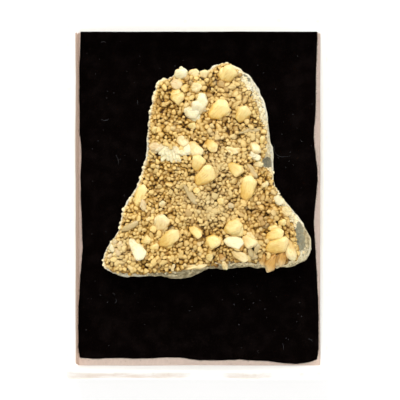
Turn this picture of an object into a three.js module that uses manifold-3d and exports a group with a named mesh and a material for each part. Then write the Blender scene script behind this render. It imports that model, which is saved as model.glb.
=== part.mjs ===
// Stilbite on its matrix rock, lying on a velvet pad in an open card display tray.
//
// The rock is a bell-shaped plate, wide at the bottom (-Y) and narrow at the top (+Y). A carpet
// of small stilbite crystals covers its upper face, and larger tabular crystals lie on the carpet
// and rise out of it. The crystals have grown into each other, so they are one solid.
//
// Millimetres, +Z up. The origin is the middle of the tray's underside.

import * as THREE from 'three';
import { mergeVertices } from 'three/addons/utils/BufferGeometryUtils.js';
import Module from 'manifold-3d';

const wasm = await Module();
wasm.setup();

// ---------------------------------------------------------------- driving dimensions

const TRAY = { width: 62, depth: 84, height: 16, board: 2, outerCorner: 1.2, innerCorner: 0.6 };

const PAD = { thickness: 3, roundedRim: 0.5 };

// The pad is cut by hand and a little small for the tray: its edge, anticlockwise from the lower
// left corner. It lies against the tray's upper wall.
const PAD_OUTLINE = [
  [-27.9, -37.9], [-25.4, -38.2], [-18.8, -38.0], [-15.2, -38.2], [-8.1, -37.9], [-3.3, -38.0],
  [0.2, -38.6], [9.7, -38.4], [15.7, -38.7], [20.4, -39.3], [23.3, -39.4], [26.3, -38.8],
  [27.8, -37.9], [28.3, -35.8], [28.3, -26.6], [28.1, -20.7], [27.6, -11.6], [27.2, -5.7],
  [27.5, -2.8], [28.1, 4.3], [28.0, 7.2], [27.2, 14.5], [27.7, 21.0], [27.8, 30.0], [28.1, 39.7],
  [24.0, 39.4], [8.0, 39.7], [-8.1, 39.6], [-16.4, 39.3], [-28.1, 39.2], [-28.4, 30.0],
  [-28.4, 15.0], [-27.9, 12.3], [-28.1, 3.1], [-27.6, -11.6], [-28.1, -17.6], [-28.6, -26.6],
  [-28.7, -35.4],
];

// chip: the edge's unevenness seen from above; roughness: that of the broken sides.
const ROCK = { thickness: 7, underCut: 0.8, chip: 0.1, roughness: 0.28, pointsAround: 74 };

// pitch: from one grain to the next; depth: of the hollows below the grain tips. The tips' heights
// swell gently over the plate and sink by `thinEdge` over the last `edgeWidth` to its edge.
const CARPET = {
  thickness: 2, pitch: 2, depth: 0.9, swell: 0.35, swellLength: [30, 37], thinEdge: 0.8, edgeWidth: 3,
};

// How far a grain or hollow strays, as a share of the pitch and, in height, in mm.
const STRAY = { sideways: 0.16, tip: 0.22, hollow: 0.12 };

// Crystals are tables: flat, thinner than wide, with bevelled faces all round. Their undersides
// lie `sink` below the grain tips.
const CRYSTAL = { thicknessShare: 0.66, leastThickness: 1.3, bevelShare: 0.2, sink: 1.05, roll: 14 };

// Heights that follow from the thicknesses, from the tray's underside upward.
const FLOOR_TOP = TRAY.board;
const PAD_TOP = FLOOR_TOP + PAD.thickness;
const ROCK_TOP = PAD_TOP + ROCK.thickness;
const CARPET_TOP = ROCK_TOP + CARPET.thickness;

// The rock's widest outline seen from above, clockwise from its upper left shoulder:
// [x, y, flank], where flank is how far the crystal carpet stays back from the outline.
const ROCK_OUTLINE = [
  [-9.3, 27.5, 0.3], [-6.8, 28.2, 0.3], [-4.2, 30.8, 0.5], [-2.8, 29.8, 0.4], [2.3, 29.9, 0.3],
  [3.7, 31.2, 0.6], [6.5, 31.9, 0.6], [9.1, 30.9, 0.8], [11.2, 29.6, 1.6], [13.0, 27.5, 2.1],
  [14.7, 24.5, 2.2], [15.8, 21.0, 2.1], [17.2, 12.1, 1.6], [17.5, 8.2, 3.0], [17.7, 6.1, 1.3],
  [18.4, 2.6, 0.9], [21.4, -1.4, 2.2], [24.5, -5.6, 2.9], [26.3, -10.0, 4.2], [25.9, -13.0, 3.2],
  [24.7, -15.1, 2.6], [21.2, -16.5, 1.9], [17.0, -16.8, 1.5], [11.4, -16.4, 1.7], [4.9, -16.7, 1.5],
  [1.4, -17.1, 1.4], [-2.1, -18.8, 2.4], [-4.7, -19.1, 2.3], [-9.1, -18.5, 1.3], [-19.1, -18.4, 1.2],
  [-21.2, -17.2, 0.8], [-22.6, -15.4, 0.5], [-21.4, -11.0, 0.5], [-19.1, -7.7, 0.4], [-17.5, -1.9, 0.4],
  [-14.9, 2.1, 0.4], [-13.7, 5.1, 0.4], [-12.3, 10.5, 0.5], [-12.1, 15.6, 0.4], [-11.2, 21.7, 0.4],
];

// The rock's rings from the pad up: height share, inset in mm, and inset as a share of the flank.
const ROCK_RINGS = [
  { height: 0, inset: ROCK.underCut, flankShare: 0 },
  { height: 0.17, inset: 0.2, flankShare: 0 },
  { height: 0.38, inset: 0, flankShare: 0 },
  { height: 0.68, inset: 0, flankShare: 0.5 },
  { height: 1, inset: 0, flankShare: 1 },
];

// Larger crystals: [x, y, length, width, heading, rise]. Length and width are seen from above.
// The long axis points to `heading` degrees anticlockwise from +X, and that end is lifted by
// `rise` degrees.
const LARGE_CRYSTALS = [
  // thick honey-coloured tables
  [4.9, 20.5, 5.1, 3.5, 40, 25], [10.0, 19.6, 4.0, 3.0, 35, 20], [0.9, 4.9, 5.6, 3.5, 38, 25],
  [11.4, 2.6, 6.1, 3.5, 72, 25], [-6.3, -8.9, 4.7, 2.8, 38, 10], [-10.0, -11.2, 3.0, 1.6, 15, 5],
  [7.5, -6.5, 4.7, 3.3, 10, 15], [3.5, -10.5, 3.5, 3.0, -30, 30], [17.9, -8.2, 4.9, 2.1, 20, 15],
  [17.9, -10.5, 6.1, 2.8, 22, 15], [-0.9, -7.5, 3.7, 2.1, -35, 15], [2.8, 12.3, 3.7, 2.6, -40, 25],
  [8.4, 7.5, 3.5, 2.6, -35, 25], [-0.5, 8.9, 3.7, 2.8, 70, 30], [-5.1, 24.2, 3.0, 2.6, 0, 30],
  [6.5, 29.1, 4.4, 3.5, 50, 30],
  // cream tables
  [-8.6, -5.6, 4.0, 3.3, 120, 35], [21.0, -11.7, 5.6, 2.1, -75, 10], [9.1, -13.5, 4.2, 2.1, -25, 8],
  [11.2, -9.8, 3.7, 2.8, -60, 20], [-3.7, 13.3, 3.0, 2.3, -35, 20], [-0.9, 11.9, 3.7, 2.6, -55, 20],
  [-14.2, 1.2, 4.7, 2.1, -75, 5], [-1.4, 29.4, 3.0, 1.6, 0, 10], [12.8, 12.8, 3.3, 1.9, -60, 20],
  [7.9, 11.9, 3.7, 1.4, -15, 8],
  // rust-stained tables that lean over the lower edge
  [16.5, -14.9, 4.2, 2.3, -125, 0], [19.1, -13.7, 3.7, 1.9, -110, 5],
  // white tables, three of them in a fan
  [-7.5, 10.0, 3.7, 1.9, -120, 12], [-6.1, 9.6, 3.7, 1.9, -85, 12], [-4.4, 9.8, 3.7, 1.9, -50, 12],
  [-14.4, -12.1, 5.1, 2.8, -55, 20], [-0.5, 22.4, 4.0, 2.3, 60, 15], [-1.6, 19.6, 3.0, 2.1, -10, 10],
  [-4.2, 29.4, 3.3, 3.0, 90, 20], [-5.4, 27.0, 2.8, 2.1, -30, 10], [8.4, -10.3, 4.7, 2.1, 0, 5],
  [-9.8, 12.1, 3.3, 2.3, 20, 8], [-13.5, -1.6, 3.3, 1.6, -75, 5], [-20.3, -12.1, 2.8, 1.9, -60, 8],
  // greyish, glassy blades
  [11.9, 16.5, 6.5, 0.8, 10, 3], [-1.9, 2.1, 4.2, 1.2, -50, 3], [-15.8, -6.3, 4.7, 1.4, 35, 3],
  [12.8, -12.6, 3.0, 2.6, 0, 20],
];

// Half of a table's outline, as shares of its half length and half width. The other half is the
// same turned by 180 degrees.
const HALF_TABLE = [[1, 0.22], [0.55, 0.96], [-0.6, 0.9]];

// ---------------------------------------------------------------- helpers

// Gives a function of repeatable random numbers, from -size to size (mulberry32).
function strayFrom(seed) {
  let state = seed;
  return (size) => {
    state = (state + 0x6d2b79f5) | 0;
    let mixed = Math.imul(state ^ (state >>> 15), 1 | state);
    mixed = (mixed + Math.imul(mixed ^ (mixed >>> 7), 61 | mixed)) ^ mixed;
    const share = ((mixed ^ (mixed >>> 14)) >>> 0) / 2 ** 32;
    return (share * 2 - 1) * size;
  };
}

// A wave of height 1 and the given length.
const wave = (distance, length) => Math.sin((distance / length) * Math.PI * 2 + 1);

const shapeOf = (points) => new THREE.Shape(points.map(([x, y]) => new THREE.Vector2(x, y)));

function toSolid(geometry) {
  const bare = geometry.clone();
  bare.deleteAttribute('normal');
  bare.deleteAttribute('uv');
  const merged = mergeVertices(bare);
  return new wasm.Manifold(new wasm.Mesh({
    numProp: 3,
    vertProperties: new Float32Array(merged.attributes.position.array),
    triVerts: new Uint32Array(merged.index.array),
  }));
}

function toGeometry(solid) {
  const mesh = solid.getMesh();
  const geometry = new THREE.BufferGeometry();
  geometry.setAttribute('position', new THREE.BufferAttribute(new Float32Array(mesh.vertProperties), 3));
  geometry.setIndex(new THREE.BufferAttribute(new Uint32Array(mesh.triVerts), 1));
  geometry.computeVertexNormals();
  return geometry;
}

function indexedGeometry(points, faces) {
  const geometry = new THREE.BufferGeometry();
  geometry.setAttribute('position', new THREE.Float32BufferAttribute(points.flat(), 3));
  geometry.setIndex(faces.flat());
  geometry.computeVertexNormals();
  return geometry;
}

// A closed skin over rings of points. Each ring runs anticlockwise and holds as many points as
// the next, the rings go upward, and the first and last ones are flat.
function loft(rings) {
  const around = rings[0].length;
  const faces = [];
  for (let level = 0; level + 1 < rings.length; level += 1) {
    for (let i = 0; i < around; i += 1) {
      const here = level * around + i;
      const next = level * around + ((i + 1) % around);
      faces.push([here, next, next + around], [here, next + around, here + around]);
    }
  }
  const cap = (ring) => THREE.ShapeUtils.triangulateShape(ring.map(([x, y]) => new THREE.Vector2(x, y)), []);
  const last = (rings.length - 1) * around;
  cap(rings[0]).forEach(([a, b, c]) => faces.push([a, c, b]));
  cap(rings[rings.length - 1]).forEach(([a, b, c]) => faces.push([a + last, b + last, c + last]));
  return indexedGeometry(rings.flat(), faces);
}

function roundedRectangle(width, depth, corner) {
  const right = width / 2;
  const top = depth / 2;
  const shape = new THREE.Shape();
  shape.moveTo(right, corner - top);
  shape.lineTo(right, top - corner);
  shape.absarc(right - corner, top - corner, corner, 0, Math.PI / 2);
  shape.absarc(corner - right, top - corner, corner, Math.PI / 2, Math.PI);
  shape.absarc(corner - right, corner - top, corner, Math.PI, Math.PI * 1.5);
  shape.absarc(right - corner, corner - top, corner, Math.PI * 1.5, Math.PI * 2);
  return shape;
}

function prism(shape, bottom, top) {
  const geometry = new THREE.ExtrudeGeometry(shape, {
    depth: top - bottom, bevelEnabled: false, curveSegments: 3,
  });
  return geometry.translate(0, 0, bottom);
}

function namedMesh(name, geometry, color, roughness) {
  const material = new THREE.MeshStandardMaterial({ color, roughness, metalness: 0 });
  const mesh = new THREE.Mesh(geometry, material);
  mesh.name = name;
  return mesh;
}

// ---------------------------------------------------------------- tray and pad

function displayTray() {
  const { width, depth, height, board, outerCorner, innerCorner } = TRAY;
  const block = prism(roundedRectangle(width, depth, outerCorner), 0, height);
  const inside = roundedRectangle(width - 2 * board, depth - 2 * board, innerCorner);
  const hollow = prism(inside, FLOOR_TOP, height + 1);
  return toGeometry(toSolid(block).subtract(toSolid(hollow)));
}

function velvetPad() {
  const pad = new THREE.ExtrudeGeometry(shapeOf(PAD_OUTLINE), {
    depth: PAD.thickness - 2 * PAD.roundedRim,
    bevelThickness: PAD.roundedRim,
    bevelSize: PAD.roundedRim,
    bevelOffset: -PAD.roundedRim,
    bevelSegments: 1,
  });
  return pad.translate(0, 0, FLOOR_TOP + PAD.roundedRim);
}

// ---------------------------------------------------------------- rock

// Points round the outline, anticlockwise, each with its flank and its outward direction.
function walkOutline() {
  const control = ROCK_OUTLINE.map(([x, y, flank]) => new THREE.Vector3(x, y, flank)).reverse();
  const curve = new THREE.CatmullRomCurve3(control, true, 'centripetal');
  const stray = strayFrom(11);
  return curve.getSpacedPoints(ROCK.pointsAround).slice(0, ROCK.pointsAround).map((point, i) => {
    const along = curve.getTangentAt(i / ROCK.pointsAround);
    const outward = new THREE.Vector2(along.y, -along.x).normalize();
    return { x: point.x, y: point.y, flank: point.z, outward, chip: stray(ROCK.chip) };
  });
}

const OUTLINE_WALK = walkOutline();

// The outline moved inward by the same inset everywhere and by a share of each point's flank.
function outlineRing(inset, flankShare) {
  return OUTLINE_WALK.map(({ x, y, flank, outward, chip }) => {
    const back = inset + flank * flankShare + chip;
    return [x - outward.x * back, y - outward.y * back];
  });
}

// The edge of the rock's upper face, where the carpet ends too.
const CARPET_EDGE = outlineRing(0, 1);

function matrixRock() {
  const stray = strayFrom(23);
  return loft(ROCK_RINGS.map(({ height, inset, flankShare }) => {
    const z = PAD_TOP + height * ROCK.thickness;
    const rough = height === 0 || height === 1 ? 0 : ROCK.roughness;
    return outlineRing(inset, flankShare)
      .map(([x, y]) => [x + stray(rough), y + stray(rough), z + stray(rough * 2)]);
  }));
}

// ---------------------------------------------------------------- crystals

function distanceToEdge(x, y) {
  let nearest = Infinity;
  CARPET_EDGE.forEach(([ax, ay], i) => {
    const [bx, by] = CARPET_EDGE[(i + 1) % CARPET_EDGE.length];
    const run = (bx - ax) ** 2 + (by - ay) ** 2;
    const share = THREE.MathUtils.clamp(((x - ax) * (bx - ax) + (y - ay) * (by - ay)) / run, 0, 1);
    const distance = Math.hypot(x - ax - share * (bx - ax), y - ay - share * (by - ay));
    nearest = Math.min(nearest, distance);
  });
  return nearest;
}

// The height of the grain tips: a gentle swell that thins towards the carpet's edge.
function carpetHeight(x, y) {
  const [lengthX, lengthY] = CARPET.swellLength;
  const swell = CARPET.swell * wave(x, lengthX) * wave(y, lengthY);
  const edge = 1 - THREE.MathUtils.smoothstep(distanceToEdge(x, y), 0, CARPET.edgeWidth);
  return CARPET_TOP + swell - CARPET.thinEdge * edge;
}

// Grains stand on a triangular lattice. Each one is a six-sided lump: a fan of triangles from its
// tip down to the six hollows that it shares with its neighbours. A flat copy of the same faces
// closes the sheet from below.
function grainSheet(bottom) {
  const stray = strayFrom(18);
  const { pitch, depth } = CARPET;
  const points = [];
  const numbers = new Map();
  const place = (i, j, kind) => {
    const key = `${kind} ${i} ${j}`;
    if (!numbers.has(key)) {
      const third = { tip: 0, rising: 1 / 3, falling: 2 / 3 }[kind];
      const x = (i + third + (j + third) / 2 + stray(STRAY.sideways)) * pitch;
      const y = (((j + third) * Math.sqrt(3)) / 2 + stray(STRAY.sideways)) * pitch;
      const low = kind === 'tip' ? stray(STRAY.tip) : depth + stray(STRAY.hollow);
      numbers.set(key, points.length);
      points.push([x, y, carpetHeight(x, y) - low]);
    }
    return numbers.get(key);
  };

  const reach = TRAY.depth / 2 - TRAY.board * 2;
  const upper = [];
  const steps = Math.ceil((reach * 2) / pitch);
  for (let j = -steps; j <= steps; j += 1) {
    for (let i = -steps; i <= steps; i += 1) {
      const x = (i + j / 2) * pitch;
      const y = (j * Math.sqrt(3) * pitch) / 2;
      if (Math.abs(x) < reach && Math.abs(y) < reach) {
        const tip = place(i, j, 'tip');
        const hollows = [
          place(i, j, 'rising'), place(i - 1, j, 'falling'), place(i - 1, j, 'rising'),
          place(i - 1, j - 1, 'falling'), place(i, j - 1, 'rising'), place(i, j - 1, 'falling'),
        ];
        hollows.forEach((hollow, k) => upper.push([tip, hollow, hollows[(k + 1) % hollows.length]]));
      }
    }
  }

  const below = points.length;
  const lower = upper.map(([a, b, c]) => [a + below, c + below, b + below]);
  const edges = new Set(upper.flatMap(([a, b, c]) => [`${a} ${b}`, `${b} ${c}`, `${c} ${a}`]));
  const skirt = [...edges]
    .map((edge) => edge.split(' ').map(Number))
    .filter(([a, b]) => !edges.has(`${b} ${a}`))
    .flatMap(([a, b]) => [[b, a, a + below], [b, a + below, b + below]]);
  const floor = points.map(([x, y]) => [x, y, bottom]);
  return indexedGeometry([...points, ...floor], [...upper, ...lower, ...skirt]);
}

function tabularCrystal([x, y, length, width, heading, rise], roll) {
  const thickness = Math.max(width * CRYSTAL.thicknessShare, CRYSTAL.leastThickness);
  const bevel = width * CRYSTAL.bevelShare;
  const halfLength = length / 2 / Math.cos(THREE.MathUtils.degToRad(rise));
  const corners = [...HALF_TABLE, ...HALF_TABLE.map(([along, across]) => [-along, -across])];
  const outline = corners.map(([along, across]) => [along * halfLength, (across * width) / 2]);
  const table = new THREE.ExtrudeGeometry(shapeOf(outline), {
    depth: thickness - 2 * bevel,
    bevelThickness: bevel,
    bevelSize: bevel,
    bevelOffset: -bevel,
    bevelSegments: 1,
  });
  table.translate(0, 0, bevel - thickness / 2);
  table.rotateX(THREE.MathUtils.degToRad(roll));
  table.rotateY(-THREE.MathUtils.degToRad(rise));
  table.rotateZ(THREE.MathUtils.degToRad(heading));
  return table.translate(x, y, carpetHeight(x, y) - CRYSTAL.sink + thickness / 2);
}

function stilbiteCrust() {
  const highest = TRAY.height + TRAY.board;
  const overRock = toSolid(prism(shapeOf(CARPET_EDGE), ROCK_TOP, highest));
  const carpet = toSolid(grainSheet(ROCK_TOP - 1)).intersect(overRock);

  const stray = strayFrom(71);
  const tables = LARGE_CRYSTALS
    .map((row) => toSolid(tabularCrystal(row, stray(CRYSTAL.roll))))
    .reduce((joined, table) => joined.add(table));
  const overTray = roundedRectangle(TRAY.width, TRAY.depth, TRAY.outerCorner);
  const aboveRock = toSolid(prism(overTray, ROCK_TOP, highest));
  return toGeometry(carpet.add(tables.intersect(aboveRock)));
}

// ---------------------------------------------------------------- the whole object

const group = new THREE.Group();
group.add(
  namedMesh('display_tray', displayTray(), 0xf5f1ea, 0.7),
  namedMesh('velvet_pad', velvetPad(), 0x0b0807, 1),
  namedMesh('matrix_rock', matrixRock(), 0x9a9070, 0.85),
  namedMesh('stilbite_crust', stilbiteCrust(), 0xc9a76a, 0.45),
);

export default group;
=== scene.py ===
"""Stilbite on its matrix rock, on a velvet pad in an open card display tray.

Every surface is worked out in millimetres with numpy and put into its mesh in metres, in the
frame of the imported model: +Z up, the origin in the middle of the tray's underside.
"""

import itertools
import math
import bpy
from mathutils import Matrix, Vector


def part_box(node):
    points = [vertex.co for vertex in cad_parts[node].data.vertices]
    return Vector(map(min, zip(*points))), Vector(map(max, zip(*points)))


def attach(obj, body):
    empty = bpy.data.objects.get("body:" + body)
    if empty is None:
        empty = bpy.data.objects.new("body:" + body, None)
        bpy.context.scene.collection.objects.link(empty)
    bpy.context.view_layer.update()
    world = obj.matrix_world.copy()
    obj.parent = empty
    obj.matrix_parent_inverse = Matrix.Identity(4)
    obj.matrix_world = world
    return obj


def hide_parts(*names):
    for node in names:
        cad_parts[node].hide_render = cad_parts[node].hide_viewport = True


bl_info = {
    "name": "Stilbite specimen",
    "version": (1, 0, 0),
    "blender": (4, 5, 0),
    "location": "View3D > Sidebar > Stilbite",
    "description": "Builds a stilbite specimen with its velvet pad and display tray",
    "category": "Add Mesh",
}

import bpy
import numpy as np
from bpy.props import FloatProperty, FloatVectorProperty, IntProperty, PointerProperty
from mathutils import Vector

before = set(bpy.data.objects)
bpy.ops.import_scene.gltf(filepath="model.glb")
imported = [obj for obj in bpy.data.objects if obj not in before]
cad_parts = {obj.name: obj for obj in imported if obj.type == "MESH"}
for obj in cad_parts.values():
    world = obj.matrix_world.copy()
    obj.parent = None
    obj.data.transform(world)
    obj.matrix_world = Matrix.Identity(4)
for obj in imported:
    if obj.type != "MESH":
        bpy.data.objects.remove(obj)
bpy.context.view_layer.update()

MM = 0.001
BODY = "root"

TRAY_LOW, TRAY_HIGH = (np.array(corner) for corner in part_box("display_tray"))
PAD_LOW, PAD_HIGH = (np.array(corner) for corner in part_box("velvet_pad"))
ROCK_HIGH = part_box("matrix_rock")[1]
FLOOR_TOP, PAD_TOP, ROCK_TOP = PAD_LOW[2] / MM, PAD_HIGH[2] / MM, ROCK_HIGH[2] / MM
CARPET_THICKNESS = 2.0
CARPET_TOP = ROCK_TOP + CARPET_THICKNESS

# The pad's hand-cut edge in mm, anticlockwise. PAD_CORNERS are the places of its four corners.
PAD_OUTLINE = [
    (-28.3, -37.9), (-25.4, -38.2), (-18.8, -38.0), (-15.2, -38.2), (-8.1, -37.9), (-3.3, -38.0),
    (0.2, -38.6), (9.7, -38.4), (15.7, -38.7), (20.4, -39.3), (23.3, -39.4), (26.6, -38.9),
    (28.0, -38.3), (28.4, -35.8), (28.3, -26.6), (28.1, -20.7), (27.6, -11.6), (27.2, -5.7),
    (27.5, -2.8), (28.1, 4.3), (28.0, 7.2), (27.2, 14.5), (27.7, 21.0), (27.8, 30.0), (28.1, 39.7),
    (24.0, 39.6), (8.0, 39.8), (-8.1, 39.75), (-16.4, 39.6), (-28.1, 39.5), (-28.4, 30.0),
    (-28.4, 15.0), (-27.9, 12.3), (-28.1, 3.1), (-27.6, -11.6), (-28.1, -17.6), (-28.6, -26.6),
    (-28.7, -35.4),
]
PAD_CORNERS = (0, 12, 24, 29)

# The rock's widest outline in mm, clockwise from its upper left shoulder: x, y and how far the
# crystal carpet stays back from it.
ROCK_OUTLINE = [
    (-9.3, 27.5, 0.3), (-6.8, 28.2, 0.3), (-4.2, 30.8, 0.5), (-2.8, 29.8, 0.4), (2.3, 29.9, 0.3),
    (3.7, 31.2, 0.6), (6.5, 31.9, 0.6), (9.1, 30.9, 1.2), (11.2, 29.6, 2.4), (13.0, 27.5, 2.7),
    (14.7, 24.5, 2.5), (15.8, 21.0, 2.2), (17.2, 12.1, 1.6), (17.5, 8.2, 3.0), (17.7, 6.1, 1.3),
    (18.4, 2.6, 0.9), (21.4, -1.4, 2.2), (24.5, -5.6, 2.9), (26.7, -9.8, 4.5), (26.0, -13.0, 3.3),
    (24.7, -15.1, 2.6), (21.2, -16.5, 1.9), (17.0, -16.8, 1.5), (11.4, -16.4, 1.7),
    (4.9, -16.7, 1.5), (1.4, -17.1, 1.4), (-2.1, -18.8, 2.4), (-4.7, -19.1, 2.3),
    (-9.1, -18.5, 1.3), (-19.1, -18.4, 1.2), (-21.2, -17.2, 0.8), (-22.6, -15.4, 0.5),
    (-21.4, -11.0, 0.5), (-19.1, -7.7, 0.4), (-17.5, -1.9, 0.4), (-14.9, 2.1, 0.4),
    (-13.7, 5.1, 0.4), (-12.3, 10.5, 0.5), (-12.1, 15.6, 0.4), (-11.2, 21.7, 0.4),
]
# The rock's section from the pad up: height share, inset in mm, inset as a share of the flank.
ROCK_SECTION = [(0.0, 0.8, 0.0), (0.17, 0.2, 0.0), (0.38, 0.0, 0.0), (0.68, 0.0, 0.5), (1.0, 0.0, 1.0)]
MIDDLE = np.array([0.0, -8.0])  # every point of the rock's outline is seen from here

# Larger crystals in mm and degrees: x, y, length, width, heading of the long axis, rise of its end.
CRYSTALS = {
    "honey": [
        (4.5, 20.3, 5.6, 3.8, 42, 22), (10.1, 19.3, 4.1, 3.1, 60, 22), (1.3, 4.9, 5.8, 3.6, 40, 22),
        (11.4, 2.4, 6.0, 3.6, 76, 18), (-7.2, -9.5, 6.0, 3.0, 40, 14), (-10.4, -11.4, 2.3, 1.5, 12, 5),
        (8.0, -6.8, 4.5, 3.5, 3, 12), (3.2, -10.1, 3.7, 3.2, -40, 22), (17.7, -8.5, 4.6, 2.9, 14, 14),
        (18.0, -11.0, 6.0, 3.2, 14, 12), (-0.8, -7.9, 3.7, 2.3, -38, 15),
        (2.8, 12.2, 3.7, 2.4, -48, 22), (8.5, 6.7, 3.8, 2.8, -38, 22), (-0.3, 8.1, 3.7, 3.0, 65, 25),
        (-5.1, 23.3, 3.1, 2.9, -20, 25), (6.7, 28.7, 4.3, 3.4, 50, 25), (17.1, -7.0, 2.7, 1.4, 10, 5),
        (-1.7, 16.8, 2.2, 1.6, -15, 20), (-12.4, -9.9, 2.5, 1.9, 15, 12), (5.0, -0.8, 1.7, 1.6, 20, 15),
        (-0.5, 1.7, 1.7, 1.5, -20, 15), (2.4, -13.7, 2.0, 1.9, 0, 10), (-10.3, 15.8, 2.0, 1.6, 50, 10),
        (14.6, 13.4, 2.1, 1.3, 80, 10), (19.2, -5.8, 2.1, 1.6, 15, 10), (-13.9, 0.2, 5.8, 2.3, 70, 5),
    ],
    "cream": [
        (-8.6, -5.8, 4.1, 3.2, 70, 28), (21.0, -11.8, 5.6, 2.4, -75, 10),
        (9.4, -13.4, 4.4, 2.2, -32, 8), (11.6, -10.0, 3.9, 2.9, -50, 18),
        (-3.9, 13.0, 3.0, 2.3, -30, 16), (-0.9, 11.4, 4.3, 2.9, -62, 20),
        (-1.3, 29.0, 2.9, 2.0, 0, 10), (1.2, 28.7, 2.3, 2.1, 80, 10), (13.0, 12.0, 3.6, 2.1, -58, 18),
        (7.4, 11.2, 3.7, 1.4, -20, 8), (13.6, 7.8, 2.1, 1.4, 15, 15), (-0.7, 25.7, 3.0, 1.9, -10, 12),
        (-0.7, -16.0, 5.6, 1.2, 4, 0), (5.9, -15.5, 2.5, 1.3, -70, -8), (-6.1, -16.2, 2.0, 0.9, 60, 0),
        (-8.5, -1.5, 1.9, 1.4, 80, 15), (15.4, 3.2, 1.5, 1.4, 0, 15), (20.2, -3.1, 2.9, 2.1, -45, 5),
    ],
    "rust": [
        (16.8, -15.1, 4.8, 2.7, -118, -4), (19.3, -13.8, 4.1, 2.2, -108, 0),
        (14.9, -14.4, 3.0, 1.5, -105, 0), (9.8, -11.4, 2.3, 1.2, 85, 5), (5.3, -13.7, 2.1, 1.4, -60, 5),
    ],
    "white": [
        (-14.1, -12.4, 4.2, 3.0, -58, 14), (-15.0, -11.0, 4.2, 2.2, -60, 11),
        (0.6, 22.1, 3.4, 3.0, 55, 14), (-0.5, 20.8, 3.6, 3.2, 60, 12), (-1.6, 19.6, 3.6, 2.9, 5, 8),
        (-4.2, 28.8, 3.2, 2.6, 15, 18), (7.9, -10.2, 4.8, 2.8, -8, 5), (12.9, 9.7, 2.9, 1.7, -30, 12),
        (-2.7, 11.5, 3.3, 2.4, -75, 15), (-20.2, -11.8, 2.2, 1.3, -55, 3),
        (18.5, -0.5, 2.8, 2.0, -45, 4),
    ],
    "milky": [
        (-5.3, 26.4, 3.0, 2.5, -20, 12), (-10.1, 11.8, 3.5, 2.4, -10, 8),
        (-13.0, -1.6, 3.0, 1.5, -75, 5), (7.5, -1.7, 1.7, 1.2, -45, 12), (-18.9, -12.6, 2.1, 1.4, -65, 5),
        (-20.7, -13.5, 1.6, 1.2, 15, 0), (-18.5, -10.9, 1.8, 1.3, 30, 6), (-19.6, -10.2, 1.5, 1.1, -30, 3),
    ],
    "glassy": [
        (11.4, 15.6, 6.5, 1.3, 10, 5), (-2.1, 1.0, 6.3, 1.5, -56, 3), (-15.8, -6.5, 4.6, 1.6, 28, 3),
        (12.4, 6.3, 4.2, 1.5, -58, 3), (12.0, -12.5, 2.5, 1.4, -75, 8), (13.4, -11.8, 2.5, 1.4, 75, 8),
        (12.9, -13.7, 1.9, 1.2, 10, 8),
    ],
}
FAN_ROOT = np.array([-6.4, 12.6])  # the white sheaf spreads from here
FAN_REACH = 4.7

# Half of a table's outline, as shares of its half length and half width; the rest is this turned.
HALF_TABLE = np.array([(1, 0.22), (0.55, 0.96), (-0.6, 0.9)])


# ---------------- numbers and curves


def scatter(corner, seed):
    """A repeatable number from 0 to 1 for each row of whole numbers: the row's numbers times odd
    factors are summed, then shifted and multiplied until nothing of their order is left."""
    factors = np.array([73856093, 19349663, 83492791], np.int64)[: corner.shape[-1]]
    mixed = (corner * factors).sum(-1) + seed * 2654435761
    mixed = (mixed ^ (mixed >> 13)) & 0xFFFFFFFF
    mixed = (mixed * 1274126177) & 0xFFFFFFFF
    return ((mixed ^ (mixed >> 16)) & 0xFFFF) / 0xFFFF


def noise(points, size, seed):
    """Smooth random heights from -1 to 1: each lattice cell of that size has a random number at
    each corner, and a point blends its cell's corners by 3t^2 - 2t^3 along every axis."""
    scaled = np.asarray(points, float) / size
    corner = np.floor(scaled).astype(np.int64)
    share = scaled - corner
    share = share * share * (3 - 2 * share)
    total = 0.0
    for step in itertools.product((0, 1), repeat=scaled.shape[-1]):
        weight = np.where(np.array(step) == 1, share, 1 - share).prod(-1)
        total = total + weight * scatter(corner + np.array(step), seed)
    return total * 2 - 1


def rough(points, size, seed, octaves=4, fall=0.5):
    """Noise at a size, half that size and so on, each layer `fall` as high as the one before."""
    layers = [noise(points, size / 2**k, seed + 17 * k) * fall**k for k in range(octaves)]
    return sum(layers) / sum(fall**k for k in range(octaves))


def smoothstep(value, low, high):
    """0 below low, 1 above high, and 3t^2 - 2t^3 between."""
    t = np.clip((value - low) / (high - low), 0, 1)
    return t * t * (3 - 2 * t)


def evenly(line, count, endpoint=True):
    """`count` evenly spaced points on a broken line, and how far along it each one lies."""
    run = np.concatenate([[0], np.cumsum(np.linalg.norm(np.diff(line, axis=0), axis=1))])
    wanted = np.linspace(0, run[-1], count, endpoint=endpoint)
    return np.stack([np.interp(wanted, run, values) for values in line.T], 1), wanted


def even_loop(points, count):
    """`count` evenly spaced points on a closed broken line."""
    return evenly(np.vstack([points, points[:1]]), count, endpoint=False)[0]


def smooth_loop(control, steps=40):
    """A closed centripetal Catmull-Rom curve: between two control points it is a cubic whose
    slopes come from the neighbours, weighed by the square roots of the distances."""
    before, here, after, beyond = (np.roll(control, k, 0) for k in (1, 0, -1, -2))
    root = lambda a, b: np.sqrt(np.linalg.norm(a - b, axis=1))[:, None]
    d0, d1, d2 = root(before, here), root(here, after), root(after, beyond)
    leave = ((here - before) / d0 - (after - before) / (d0 + d1) + (after - here) / d1) * d1
    reach = ((after - here) / d1 - (beyond - here) / (d1 + d2) + (beyond - after) / d2) * d1
    t = np.linspace(0, 1, steps, endpoint=False)[None, :, None]
    a, b, u, v = (part[:, None] for part in (here, after, leave, reach))
    curve = a + u * t + (3 * b - 3 * a - 2 * u - v) * t**2 + (2 * a - 2 * b + u + v) * t**3
    return curve.reshape(-1, control.shape[1])


def toward(angle):
    """The unit direction at each angle in radians, anticlockwise from +X."""
    return np.stack([np.cos(angle), np.sin(angle)], -1)


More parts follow.
